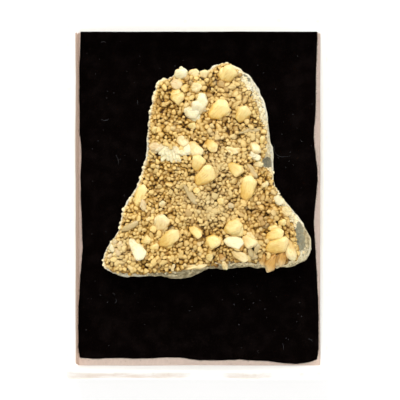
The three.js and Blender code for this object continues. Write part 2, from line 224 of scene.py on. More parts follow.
def outward_of(loop):
    """The outward direction at each point of an anticlockwise loop: its tangent turned by -90."""
    along = np.roll(loop[:, :2], -1, 0) - np.roll(loop[:, :2], 1, 0)
    turned = np.stack([along[:, 1], -along[:, 0]], 1)
    return turned / np.linalg.norm(turned, axis=1)[:, None]


def edge_distance(points, edge):
    """How far each point lies from a closed broken line: the least distance to its stretches."""
    start, step = edge, np.roll(edge, -1, 0) - edge
    length = (step**2).sum(1)
    parts = []
    for some in np.array_split(points, max(1, len(points) // 2048)):
        away = some[:, None] - start
        share = np.clip((away * step).sum(2) / length, 0, 1)
        parts.append(np.sqrt(((away - share[..., None] * step) ** 2).sum(2)).min(1))
    return np.concatenate(parts)


def apart(points, others):
    """How far each of the points lies from each of the others."""
    return np.hypot(*(points[:, None] - others[None]).transpose(2, 0, 1))


def inside(points, edge):
    """True where a ray towards +X crosses the closed edge an odd number of times."""
    (x, y), (ax, ay) = points.T[:, :, None], edge.T[:, None]
    bx, by = np.roll(edge, -1, 0).T[:, None]
    spans = (ay > y) != (by > y)
    rise = np.where(by == ay, 1, by - ay)
    return (spans & (x < (bx - ax) * (y - ay) / rise + ax)).sum(1) % 2 == 1


def turn(axis, degrees):
    """Matrices that turn by each of the angles about x, y or z (axis 0, 1 or 2)."""
    angle = np.radians(np.atleast_1d(degrees).astype(float))
    i, j = [(1, 2), (2, 0), (0, 1)][axis]
    matrix = np.zeros((len(angle), 3, 3))
    matrix[:, axis, axis] = 1
    matrix[:, i, i] = matrix[:, j, j] = np.cos(angle)
    matrix[:, i, j], matrix[:, j, i] = -np.sin(angle), np.sin(angle)
    return matrix


# ---------------- the rock's plan


def rock_plan(count):
    """The rock's outline, each point's flank and its outward direction, anticlockwise."""
    loop = even_loop(smooth_loop(np.array(ROCK_OUTLINE)[::-1]), count)
    return loop[:, :2], loop[:, 2:], outward_of(loop)


PLAN, FLANK, OUTWARD = rock_plan(320)
CARPET_EDGE = PLAN - OUTWARD * FLANK


def carpet_height(points):
    """The height of the grain tips: two crossed waves 0.35 mm high, less 0.8 mm at the very edge."""
    swell = 0.35 * np.sin(points[:, 0] / 30 * math.tau + 1) * np.sin(points[:, 1] / 37 * math.tau + 1)
    return CARPET_TOP + swell - 0.8 * (1 - smoothstep(edge_distance(points, CARPET_EDGE), 0, 3))


# ---------------- meshes


def grid_faces(rows, columns, wrap_rows=False, wrap_columns=True):
    """Quads of a grid numbered row by row. Columns run anticlockwise and rows upward."""
    row = np.arange(rows if wrap_rows else rows - 1)[:, None]
    column = np.arange(columns if wrap_columns else columns - 1)[None]
    above, beside = (row + 1) % rows, (column + 1) % columns
    places = [(row, column), (row, beside), (above, beside), (above, column)]
    return np.stack([up * columns + across for up, across in places], -1).reshape(-1, 4)


def fan_faces(ring, pole, upward):
    """Triangles from a ring of point numbers to a pole, facing up or down."""
    after = np.roll(ring, -1)
    corners = [ring, after] if upward else [after, ring]
    return np.stack([*corners, np.full(len(ring), pole)], 1)


def skin_faces(rows, columns):
    """Faces of a closed skin over a grid of rings. The two points after the grid's own are the
    poles that close the first and the last ring by a fan of triangles."""
    first, pole = np.arange(columns), rows * columns
    last = first + pole - columns
    fans = [fan_faces(first, pole, False), fan_faces(last, pole + 1, True)]
    return [grid_faces(rows, columns), np.vstack(fans)]


def closed_skin(rings):
    """Points and faces of a closed skin over rings (rows, columns, 3). The first and the last
    ring are closed at their mean."""
    poles = np.stack([rings[0].mean(0), rings[-1].mean(0)])
    return np.vstack([rings.reshape(-1, 3), poles]), skin_faces(*rings.shape[:2])


def joined(parts):
    """The points and faces of several meshes as those of one."""
    shifts = np.cumsum([0] + [len(points) for points, _ in parts])
    faces = [[kind + shift for kind in faces] for (_, faces), shift in zip(parts, shifts)]
    return np.vstack([points for points, _ in parts]), [np.vstack(kind) for kind in zip(*faces)]


def copies(points, faces):
    """Faces for many like shapes, (shapes, points, 3), as one mesh: each shape's numbers follow
    the last one's."""
    shapes, each = points.shape[:2]
    shift = (np.arange(shapes) * each)[:, None, None]
    return points.reshape(-1, 3), [(part[None] + shift).reshape(-1, part.shape[1]) for part in faces]


def make_piece(name, points, faces, material, node, layers=None, smooth=True):
    """Puts points in mm and faces into a mesh at the origin, with its material and its layers of numbers per
    point, ties it to its body and hides the CAD node that it stands for."""
    mesh = bpy.data.meshes.new(name)
    points = np.asarray(points, np.float32).reshape(-1, 3) * MM
    corners = np.concatenate([part.ravel() for part in faces]).astype(np.int32)
    sizes = np.concatenate([np.full(len(part), part.shape[1]) for part in faces])
    mesh.vertices.add(len(points))
    mesh.vertices.foreach_set("co", points.ravel())
    mesh.loops.add(len(corners))
    mesh.loops.foreach_set("vertex_index", corners)
    mesh.polygons.add(len(sizes))
    mesh.polygons.foreach_set("loop_start", (np.cumsum(sizes) - sizes).astype(np.int32))
    mesh.polygons.foreach_set("use_smooth", np.full(len(sizes), smooth))
    for title, values in (layers or {}).items():
        values = np.asarray(values, np.float32)
        is_place = values.size == points.size
        layer = mesh.attributes.new(title, "FLOAT_VECTOR" if is_place else "FLOAT", "POINT")
        layer.data.foreach_set("vector" if is_place else "value", values.ravel())
    mesh.update(calc_edges=True)
    if mesh.validate():
        raise RuntimeError(f"{name} has faces that Blender had to repair")
    mesh.materials.append(material)
    piece = bpy.data.objects.new(name, mesh)
    bpy.context.scene.collection.objects.link(piece)
    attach(piece, BODY)
    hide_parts(node)
    return piece


# ---------------- shader nodes


class Graph:
    """A node tree with short ways to add to it."""

    def __init__(self, tree):
        self.tree = tree

    def feed(self, socket, value):
        """Links a socket to the value if that is a socket, and otherwise sets it."""
        if isinstance(value, bpy.types.NodeSocket):
            self.tree.links.new(value, socket)
        elif hasattr(value, "__len__") and len(value) == 3 and socket.type == "RGBA":
            socket.default_value = (*value, 1)
        else:
            socket.default_value = value

    def add(self, kind, inputs=None, **settings):
        """Adds a shader node, with its settings and its inputs by name or number."""
        node = self.tree.nodes.new("ShaderNode" + kind)
        for title, value in settings.items():
            setattr(node, title, value)
        for title, value in (inputs or {}).items():
            self.feed(node.inputs[title], value)
        return node

    def mix(self, share, first, second, blend="MIX"):
        """The second colour over the first by that share."""
        inputs = {0: share, 6: first, 7: second}
        return self.add("Mix", inputs, data_type="RGBA", blend_type=blend).outputs[2]

    def math(self, operation, first, second=0.5):
        """A Math node's value."""
        return self.add("Math", {0: first, 1: second}, operation=operation).outputs[0]

    def times(self, first, second):
        """The product of two numbers."""
        return self.math("MULTIPLY", first, second)

    def span(self, value, low, high, start=0.0, end=1.0):
        """The value's place between low and high, eased, as a number from start to end."""
        inputs = {0: value, 1: low, 2: high, 3: start, 4: end}
        return self.add("MapRange", inputs, interpolation_type="SMOOTHSTEP").outputs[0]

    def noise(self, place, per_mm, detail=3.0, roughness=0.55):
        """Noise with `per_mm` waves in a millimetre of a place given in metres."""
        inputs = {"Vector": place, "Scale": per_mm / MM, "Detail": detail, "Roughness": roughness}
        return self.add("TexNoise", inputs).outputs["Fac"]

    def stretched(self, place, *scale):
        """The place times a number along each axis, so that a pattern on it is drawn out."""
        return self.add("Mapping", {"Vector": place, "Scale": scale}).outputs[0]

    def layer(self, title, output="Fac"):
        """A layer of numbers that the mesh carries for each point."""
        return self.add("Attribute", attribute_name=title).outputs[output]

    def group(self, group, **inputs):
        """Places a node group and gives its first output."""
        node = self.tree.nodes.new("ShaderNodeGroup")
        node.node_tree = group
        for title, value in inputs.items():
            self.feed(node.inputs[title.replace("_", " ").capitalize()], value)
        return node.outputs[0]


class Finish(Graph):
    """A material made of one Principled shader, whose plain numbers are given by socket name, and
    of the nodes that feed it. `place` is the point on the piece in metres."""

    def __init__(self, name, **fixed):
        self.material = bpy.data.materials.new(name)
        self.material.use_nodes = True
        super().__init__(self.material.node_tree)
        self.tree.nodes.clear()
        self.shader = self.tree.nodes.new("ShaderNodeBsdfPrincipled")
        output = self.tree.nodes.new("ShaderNodeOutputMaterial")
        self.tree.links.new(self.shader.outputs["BSDF"], output.inputs["Surface"])
        for title, value in fixed.items():
            self.feed(self.shader.inputs[title.replace("_", " ")], value)
        self.place = self.add("TexCoord").outputs["Object"]

    def relief(self, place, per_mm, fine_share, height):
        """A normal bent by fine relief, whose height is in mm."""
        group = shared("fine_relief", build_relief)
        return self.group(group, place=place, per_mm=per_mm, fine_share=fine_share, height=height)

    def specks(self, per_mm, radius, share):
        """A mask of small round specks."""
        group = shared("speckle", build_speckle)
        return self.group(group, place=self.place, per_mm=per_mm, radius=radius, share=share)

    def growth(self, place, spread, gap, body, tip):
        """A crystal's colour by its layers rise and tone: painted shade low down and a partly painted
        highlight at the top.
        """
        layers = {"rise": self.layer("rise"), "tone": self.layer("tone")}
        colors = {"gap_color": gap, "body_color": body, "tip_color": tip}
        return self.group(shared("growth_tint", build_rise_shading), place=place, spread=spread, **layers, **colors)

    def done(self, color, waves, smoothest, roughest, normal=None):
        """Links the colour, the normal and a roughness that noise moves between two values, which
        it reaches at 0.3 and 0.7, and gives the material."""
        roughness = self.span(waves, 0.3, 0.7, smoothest, roughest)
        for title, value in (("Base Color", color), ("Roughness", roughness), ("Normal", normal)):
            if value is not None:
                self.feed(self.shader.inputs[title], value)
        return self.material


def new_group(name, inputs, output, kind):
    """An empty node group: its graph, its input sockets and a function that sets its one output.
    An input is given by its kind of socket or, for a number, by its default."""
    tree = bpy.data.node_groups.new(name, "ShaderNodeTree")
    for title, start in inputs.items():
        plain = not isinstance(start, str)
        taken = "NodeSocketFloat" if plain else "NodeSocket" + start
        socket = tree.interface.new_socket(title, in_out="INPUT", socket_type=taken)
        if plain:
            socket.default_value = start
    tree.interface.new_socket(output, in_out="OUTPUT", socket_type="NodeSocket" + kind)
    start, end = tree.nodes.new("NodeGroupInput"), tree.nodes.new("NodeGroupOutput")
    return Graph(tree), start.outputs, lambda value: tree.links.new(value, end.inputs[0])


def shared(name, build):
    """The node group of that name, built the first time that it is asked for."""
    return bpy.data.node_groups.get(name) or build(name)


def build_speckle(name):
    """A mask of small round specks: Voronoi cells whose centre is nearer than the radius, kept
    only where a cell's own random colour is below the share."""
    inputs = {"Place": "Vector", "Per mm": 2.0, "Radius": 0.3, "Share": 0.3}
    graph, start, finish = new_group(name, inputs, "Mask", "Float")
    scale = graph.times(start["Per mm"], 1 / MM)
    cells = graph.add("TexVoronoi", {"Vector": start["Place"], "Scale": scale})
    near = graph.math("LESS_THAN", cells.outputs["Distance"], start["Radius"])
    kept = graph.add("SeparateColor", {0: cells.outputs["Color"]}).outputs[0]
    finish(graph.times(near, graph.math("LESS_THAN", kept, start["Share"])))
    return graph.tree


def build_rise_shading(name):
    """A crystal's colour by its rise out of the carpet: a gap colour low down that is painted shade, the body
    colour, and a tip colour at the top that is partly painted highlight, eased from one to the next, with
    cloudy patches and a brightness that differs from crystal to crystal."""
    inputs = {"Place": "Vector", "Rise": 0.5, "Tone": 0.5, "Spread": 0.3}
    inputs |= {"Gap color": "Color", "Body color": "Color", "Tip color": "Color"}
    graph, start, finish = new_group(name, inputs, "Color", "Color")
    cloud = graph.noise(start["Place"], 0.9, detail=4)
    rise = graph.math("ADD", start["Rise"], graph.span(cloud, 0.3, 0.7, -0.14, 0.14))
    # Painted shade low down, painted highlight at the top.
    body = graph.mix(graph.span(rise, 0.12, 0.55), start["Gap color"], start["Body color"])
    whole = graph.mix(graph.span(rise, 0.5, 1.02), body, start["Tip color"])
    shade = graph.times(graph.math("SUBTRACT", start["Tone"], 0.5), start["Spread"])
    bright = graph.math("ADD", 1.0, shade)
    grey = graph.add("CombineColor", {0: bright, 1: bright, 2: bright}).outputs[0]
    finish(graph.mix(1.0, whole, grey, "MULTIPLY"))
    return graph.tree


def build_relief(name):
    """A normal bent by noise: coarse waves and a finer grain of a given share."""
    inputs = {"Place": "Vector", "Per mm": 3.0, "Fine share": 0.4, "Height": 0.03}
    graph, start, finish = new_group(name, inputs, "Normal", "Vector")
    scale = graph.times(start["Per mm"], 1 / MM)
    coarse, fine = (
        graph.add("TexNoise", {"Vector": start["Place"], "Scale": waves, "Detail": detail}).outputs["Fac"]
        for waves, detail in ((scale, 3.0), (graph.times(scale, 5.0), 2.0))
    )
    height = graph.math("ADD", coarse, graph.times(fine, start["Fine share"]))
    depth = graph.times(start["Height"], MM)
    finish(graph.add("Bump", {"Strength": 1.0, "Distance": depth, "Height": height}).outputs[0])
    return graph.tree


# ---------------- sizes and colours


def length(name, description, default):
    """A size in metres."""
    return FloatProperty(
        name=name, description=description, default=default, min=0.0, unit="LENGTH", precision=5
    )


def share(name, description, default, most=1.0):
    """A number from 0 to 1, or to `most`."""
    return FloatProperty(
        name=name, description=description, default=default, min=0.0, max=most, subtype="FACTOR"
    )


def power(name, description, default):
    """A lamp's power."""
    return FloatProperty(name=name, description=description, default=default, unit="POWER")


def number(name, description, default):
    """A whole number."""
    return IntProperty(name=name, description=description, default=default, min=1)


def color(name, description, default):
    """A colour."""
    return FloatVectorProperty(
        name=name, description=description, default=default, subtype="COLOR", size=3, min=0.0, max=1.0
    )


class TrayLook(bpy.types.PropertyGroup):
    """Sizes and colours of the display tray."""

    width: length("Width", "Outside width, left to right", (TRAY_HIGH - TRAY_LOW)[0])
    depth: length("Depth", "Outside depth, front to back", (TRAY_HIGH - TRAY_LOW)[1])
    height: length("Height", "Height of the rim", (TRAY_HIGH - TRAY_LOW)[2])
    board: length("Board", "Thickness of the card walls and floor", FLOOR_TOP * MM)
    corner: length("Corner", "Radius of the outer corners", 1.2 * MM)
    paper: length("Paper", "Thickness of the paper that covers the walls", 0.14 * MM)
    lining_color: color("Lining", "Colour of the paper on the rim and the inner walls", (0.90, 0.90, 0.87))
    # The wrap is the lining's white paper given a darker colour: painted shade on the outer walls.
    shaded_wrap_color: color("Wrap", "Colour of the paper on the outer walls", (0.60, 0.59, 0.55))
    # This colour is used both for wear on the rim and for painted shade along its front.
    worn_and_shaded_color: color("Worn edge", "Colour where the paper is rubbed thin", (0.62, 0.47, 0.36))
    card_color: color("Card", "Colour of the bare card inside", (0.64, 0.52, 0.45))


class VelvetLook(bpy.types.PropertyGroup):
    """Sizes and colours of the velvet pad."""

    thickness: length("Thickness", "Thickness of the pad", (PAD_HIGH - PAD_LOW)[2])
    rounding: length("Rounding", "Radius of its upper and lower edges", 0.5 * MM)
    unevenness: length("Unevenness", "Height of the cloth's waves", 0.12 * MM)
    pile: length("Pile", "Length of the pile", 0.45 * MM)
    pile_count: number("Pile tufts", "How many tufts stand on the pad", 24000)
    velvet_color: color("Velvet", "Colour of the cloth and its pile", (0.0013, 0.0006, 0.0005))
    # The bloom colour is a painted sheen on the pile.
    sheen_color: color("Bloom", "Colour of the pile's tips", (0.0090, 0.0064, 0.0062))


class RockLook(bpy.types.PropertyGroup):
    """Sizes and colours of the matrix rock."""

    chip: length("Chips", "Depth of the broken sides' unevenness", 0.7 * MM)
    scoop_count: number("Scoops", "How many shell-shaped breaks the sides have", 70)
    rock_color: color("Rock", "Colour of the broken rock", (0.78, 0.67, 0.405))
    facet_color: color("Facet", "Colour of the smooth grey facet", (0.265, 0.262, 0.18))
    coat_color: color("Coat", "Colour of the pale crystal coat on the sides", (1.0, 0.95, 0.74))
    # The rim colour is a painted highlight along the rock's edge.
    rim_color: color("Rim", "Colour of the bright line along the rock's edge", (1.0, 0.96, 0.78))
    speck_color: color("Specks", "Colour of the dark specks", (0.16, 0.13, 0.08))


class CarpetLook(bpy.types.PropertyGroup):
    """Sizes and colours of the carpet of small crystals."""

    pitch: length("Pitch", "From one grain to the next", 0.95 * MM)
    grain: length("Grain", "Mean width of a grain", 1.0 * MM)
    small_grain: length("Small grain", "Mean width of the grains between", 0.62 * MM)
    # The gap colour is painted shade between the grains, and the tip colour is partly painted highlight.
    gap_color: color("Gap", "Colour deep between the grains", (0.095, 0.036, 0.003))
    body_color: color("Body", "Colour of the grains", (0.45, 0.245, 0.038))
    tip_color: color("Tip", "Colour of the grain tips", (0.78, 0.56, 0.205))
    pale_color: color("Pale", "Colour of the few clear grains", (0.64, 0.52, 0.27))
    # The rim colour is a painted highlight along the rock's edge, and the pale tone of the druse.
    rim_color: color("Rim", "Colour of the grains along the rock's edge", (0.96, 0.87, 0.60))


class CrystalLook(bpy.types.PropertyGroup):
    """Sizes and colours of the larger crystals."""

    least_thickness: length("Least thickness", "Thickness of the thinnest tables", 1.3 * MM)
    thickness_share: share("Thickness share", "Thickness as a share of the width", 0.66)
    sink: length("Sink", "How far their undersides lie below the grain tips", 1.05 * MM)
    honey_color: color("Honey", "Colour of the honey tables", (0.74, 0.48, 0.115))
    cream_color: color("Cream", "Colour of the cream tables", (0.715, 0.505, 0.19))
    rust_color: color("Rust", "Colour of the iron-stained tables", (0.38, 0.18, 0.03))
    white_color: color("White", "Colour of the white tables", (0.78, 0.64, 0.34))
    milky_color: color("Milky", "Colour of the dull milky tables", (0.66, 0.455, 0.19))
    glassy_color: color("Glassy", "Colour of the glassy blades", (0.48, 0.35, 0.14))
    sheaf_color: color("Sheaf", "Colour of the pale sheaf", (0.64, 0.51, 0.27))


class LintLook(bpy.types.PropertyGroup):
    """Sizes and colour of the lint on the velvet."""

    fibre_count: number("Fibres", "How many loose fibres lie on the velvet", 9)
    speck_count: number("Specks", "How many specks of dust lie on the velvet", 90)
    thickness: length("Thickness", "Thickness of a fibre", 0.032 * MM)
    lint_color: color("Lint", "Colour of the lint", (0.10, 0.10, 0.115))


class StageLook(bpy.types.PropertyGroup):
    """Floor, light and camera."""

    floor_size: length("Floor", "Side of the square floor", 4.0)
    floor_color: color("Floor", "Colour of the floor", (0.48, 0.48, 0.48))
    ambient: share("Ambient", "Strength of the light from above", 0.72, 10.0)
    horizon: share("Horizon", "Strength of the light from the sides", 1.0, 10.0)
    glow: share("Glow", "Strength of the floor's own light", 0.64)
    key: power("Key", "Power of the key light", 3.2)
    key_size: length("Key size", "Side of the key light", 0.24)
    lining: power("Lining", "Power of each light on the tray's lining", 0.95)
    camera_height: length("Camera height", "Height of the camera above the floor", 0.4)
    focal_length: FloatProperty(
        name="Lens", description="Focal length in mm", default=149.8, unit="CAMERA"
    )


# ---------------- the tray


def rounded_ring(half_width, half_depth, corner, per_mm=1.6, per_corner=9):
    """Points and outward directions anticlockwise round a rectangle whose corners are quarter
    circles. The counts follow the tray's size, so that rings of different inset match."""
    look = bpy.context.scene.stilbite_tray
    counts = [int(side / MM * per_mm) for side in (look.depth, look.width)] * 2
    centres = np.array([(1, 1), (-1, 1), (-1, -1), (1, -1)]) * (half_width - corner, half_depth - corner)
    points, normals = [], []
    for k in range(4):
        angle = np.radians(90 * k + np.linspace(0, 90, per_corner))
        normal = toward(angle)
        points.append(centres[k] + normal * corner)
        normals.append(normal)
        t = np.linspace(0, 1, counts[(k + 1) % 4] + 2)[1:-1, None]
        target = centres[(k + 1) % 4] + normal[-1] * corner
        points.append(points[-1][-1] * (1 - t) + target * t)
        normals.append(np.repeat(normal[-1:], len(t), 0))
    return np.vstack(points), np.vstack(normals)


def rounded_profile(corners, radii, steps=6):
    """A profile of (inset, height) corners, each cut by a quadratic arc of its radius."""
    corners = np.array(corners, float)
    out = [corners[:1]]
    for before, here, after, radius in zip(corners, corners[1:], corners[2:], radii):
        t = np.linspace(0, 1, steps)[:, None]
        a = here + (before - here) / np.linalg.norm(before - here) * radius
        b = here + (after - here) / np.linalg.norm(after - here) * radius
        out.append(a * (1 - t) ** 2 + 2 * here * t * (1 - t) + b * t**2)
    out.append(corners[-1:])
    return np.vstack(out)


def filled_profile(profile, longest):
    """The same profile with points added so that no stretch is longer than `longest`."""
    out = [profile[:1]]
    for a, b in zip(profile, profile[1:]):
        steps = max(1, int(np.ceil(np.linalg.norm(b - a) / longest)))
        out.append(a + (b - a) * np.linspace(0, 1, steps + 1)[1:, None])
    return np.vstack(out)


def carried_profile(profile, look, lap):
    """Carries an (inset, height) profile round the tray. The walls wave by 0.06 mm, and `lap` is
    how far the paper's corner flaps stand out on the short walls."""
    half_width, half_depth = look.width / MM / 2, look.depth / MM / 2
    rings = []
    for inset, height in profile:
        corner = max(look.corner / MM - inset * 0.5, 0.25)
        ring, normal = rounded_ring(half_width - inset, half_depth - inset, corner)
        level = np.full(len(ring), height)
        place = np.column_stack([ring, level])
        wall = smoothstep(height, 0.5, 2) * (1 - smoothstep(inset, 2.2, 3))
        bend = -0.06 * wall * (1 + noise(place, 13.0, 5))
        flap_edge = half_width - 8.5 + 0.12 * height + 0.15 * noise(place[:, 2:], 3.0, 8)
        flap = smoothstep(np.abs(ring[:, 0]), flap_edge - 0.06, flap_edge + 0.06)
        out = bend + lap * flap * (np.abs(normal[:, 1]) > 0.7) * (inset < 0.4)
        rings.append(np.column_stack([ring + normal * out[:, None], level]))
    return np.array(rings)


def paper_shape(look, corners, radii, lap):
    """A closed sheet of paper carried round the tray: a profile, and the same profile set back by
    the paper's thickness to close it."""
    outer = filled_profile(rounded_profile(corners, radii), 0.9)
    along = np.gradient(outer, axis=0)
    inward = np.stack([along[:, 1], -along[:, 0]], 1)
    inner = outer + inward / np.linalg.norm(inward, axis=1)[:, None] * look.paper / MM
    rings = np.concatenate([carried_profile(outer, look, lap), carried_profile(inner, look, lap)[::-1]])
    rows, columns = rings.shape[:2]
    return rings.reshape(-1, 3), [grid_faces(rows, columns, wrap_rows=True)]


def wrap_shape(look):
    """The outer paper runs from under the tray up the wall to just below the rim."""
    return paper_shape(look, [(7.5, 0), (0.13, 0), (0.13, look.height / MM - 0.9)], [0.35], 0.08)


def lining_shape(look):
    """The lining covers the top of the outer wall, the rim and the inner wall down to the floor,
    but on the left it ends about 6 mm below the rim, and the bare card shows under it. On the back wall
    it leans in by 0.6 mm at the floor, up to the pad."""
    height, board = look.height / MM, look.board / MM
    corners = [(0.0, height - 1.5), (0.0, height), (board, height), (board, FLOOR_TOP + 0.3)]
    points, faces = paper_shape(look, corners, [0.55, 0.5], 0.0)
    wall = look.width / MM / 2 - board
    left = smoothstep(-points[:, 0], wall - 0.4, wall - 0.2) * (points[:, 0] > -wall - 0.4)
    left *= smoothstep(look.depth / MM / 2 - board - np.abs(points[:, 1]), 0.2, 1.2)
    shrink = 0.6 + 0.03 * noise(points[:, 1:2], 4.0, 9)
    points[:, 2] += left * np.clip(height - 1 - points[:, 2], 0, None) * shrink
    wall = look.depth / MM / 2 - board
    back = smoothstep(points[:, 1], wall - 0.4, wall - 0.2) * (points[:, 1] < wall + 0.4)
    points[:, 1] -= 0.6 * back * (1 - smoothstep(points[:, 2], FLOOR_TOP, height * 0.6))
    return points, faces


def tray_card_shape(look):
    """The bare card: a closed skin just inside the paper, whose floor and underside run to the
    middle in rings."""
    height, board, paper = look.height / MM, look.board / MM, look.paper / MM + 0.01
    corners = [
        (24, 0.05), (7.7, 0.05), (7.4, paper), (0.15 + paper, paper), (0.15 + paper, height - paper),
        (board - paper, height - paper), (board - paper, FLOOR_TOP - 0.01), (28, FLOOR_TOP - 0.01),
    ]
    profile = filled_profile(rounded_profile(corners, [0.1, 0.1, 0.35, 0.5, 0.4, 0.12]), 1.2)
    return closed_skin(carried_profile(profile, look, 0.0))


def outside(graph, x, y, look):
    """A mask of the tray's outer walls: 1 where x or y lies within 0.3 mm of the outside."""
    masks = [
        graph.span(graph.math("ABSOLUTE", value), side / 2 - 0.45 * MM, side / 2 - 0.3 * MM)
        for value, side in ((x, look.width), (y, look.depth))
    ]
    return graph.math("MAXIMUM", *masks)


def paper_material(name, look, paper_color):
    """White paper: soft fibres in its relief, a warm band along the front of the rim that is painted shade
    mixed with wear, faint wear along the whole rim, darker streaks on the outer walls just below the rim, and
    brown specks on the rim."""
    graph = Finish(name, Specular_IOR_Level=0.3)
    place = graph.place
    x, y, z = graph.add("SeparateXYZ", {0: place}).outputs
    rim = graph.span(z, look.height - 0.6 * MM, look.height - 0.1 * MM)
    front = graph.span(y, -look.depth / 2 + look.board * 1.1, -look.depth / 2 + look.board * 0.5)
    left = graph.span(x, -1.5 * MM, -4.5 * MM)
    from_patch = graph.math("ABSOLUTE", graph.math("SUBTRACT", x, 11.5 * MM))
    right = graph.span(from_patch, 6.5 * MM, 4 * MM, 0.0, 0.7)
    # Painted shade: a band along the front of the rim, at the left and in a patch at the right.
    where = graph.times(front, graph.math("MAXIMUM", left, right))
    waves = graph.noise(graph.stretched(place, 0.3, 2.0, 1.0), 0.5, 5)
    rubbed = graph.times(where, graph.span(waves, 0.34, 0.6, 0.2, 0.6))
    # Wear: faint patches along the whole rim.
    everywhere = graph.span(graph.noise(place, 0.7, 5), 0.55, 0.75, 0.0, 0.12)
    rubbed = graph.times(graph.math("ADD", rubbed, everywhere), rim)
    # Darker streaks on the outer walls just below the rim.
    streaks = graph.noise(graph.stretched(place, 1.0, 1.0, 0.5), 0.25, 6)
    below_rim = graph.span(z, look.height - 0.3 * MM, look.height - 0.7 * MM)
    outer_streaks = graph.times(below_rim, outside(graph, x, y, look))
    outer_streaks = graph.times(outer_streaks, graph.span(streaks, 0.35, 0.7, 0.05, 0.2))
    specks = graph.times(rim, graph.specks(0.55, 0.26, 0.3))
    aged = graph.span(graph.noise(place, 0.08, 3), 0.3, 0.7, 0.0, 0.35)
    base = graph.mix(aged, paper_color, (0.84, 0.83, 0.79))
    # Painted shade along the front of the rim, mixed with wear, in the worn colour.
    base = graph.mix(rubbed, base, look.worn_and_shaded_color)
    base = graph.mix(outer_streaks, base, look.worn_and_shaded_color)
    base = graph.mix(graph.times(specks, 0.07), base, (0.45, 0.36, 0.20))
    return graph.done(base, graph.noise(place, 0.5), 0.55, 0.7, graph.relief(place, 2.5, 0.5, 0.02))


def card_material(look):
    """Bare grey-pink card: long pulp fibres, darker flecks, a soft mottle and painted shade on the left inner
    wall.
    """
    graph = Finish("tray_card", Specular_IOR_Level=0.2)
    long = graph.stretched(graph.place, 1.0, 0.5, 1.0)
    mottle = graph.span(graph.noise(long, 1.6, 4), 0.3, 0.7, 0.0, 0.6)
    base = graph.mix(mottle, look.card_color, (0.56, 0.45, 0.39))
    x = graph.add("SeparateXYZ", {0: graph.place}).outputs[0]
    wall = look.width / 2 - look.board
    # Painted shade: the bare card on the left inner wall is darkened.
    base = graph.mix(graph.span(x, 0.5 * MM - wall, 0.15 * MM - wall, 0.0, 0.9), base, (0.47, 0.345, 0.27))
    base = graph.mix(graph.times(graph.specks(1.7, 0.22, 0.3), 0.45), base, (0.33, 0.22, 0.15))
    return graph.done(base, graph.noise(graph.place, 2.0), 0.8, 0.95, graph.relief(long, 3.0, 0.6, 0.05))


class MakeTray(bpy.types.Operator):
    """Build the display tray: card walls and floor, covered with white paper"""

    bl_idname = "stilbite.make_tray"
    bl_label = "Display tray"

    def execute(self, context):
        look = context.scene.stilbite_tray
        lining = paper_material("tray_lining", look, look.lining_color)
        # The outer walls' paper takes the darker wrap colour: painted shade.
        wrap = paper_material("tray_wrap", look, look.shaded_wrap_color)
        make_piece("tray_lining", *lining_shape(look), lining, "display_tray")
        make_piece("tray_wrap", *wrap_shape(look), wrap, "display_tray")
        make_piece("tray_card_box", *tray_card_shape(look), card_material(look), "display_tray")
        return {"FINISHED"}


# ---------------- the velvet pad


def pad_sides(counts):
    """The pad's four sides as evenly spaced points: bottom, right, top and left, each run so
    that opposite sides go the same way. The cut wanders by 0.12 mm."""
    loop = np.array(PAD_OUTLINE)
    sides = []
    for k, first in enumerate(PAD_CORNERS):
        last = PAD_CORNERS[(k + 1) % 4] or len(loop)
        side, run = evenly(np.vstack([loop, loop[:1]])[first : last + 1], counts[k % 2])
        hold = smoothstep(np.minimum(run, run[-1] - run), 0.0, 3.0)
        wander = 0.12 * (rough(side, 2.4, 31 + k, 3) * hold)[:, None]
        sides.append(side + wander * [(0, 1), (1, 0)][k % 2])
    bottom, right, top, left = sides
    return bottom, right, top[::-1], left[::-1]


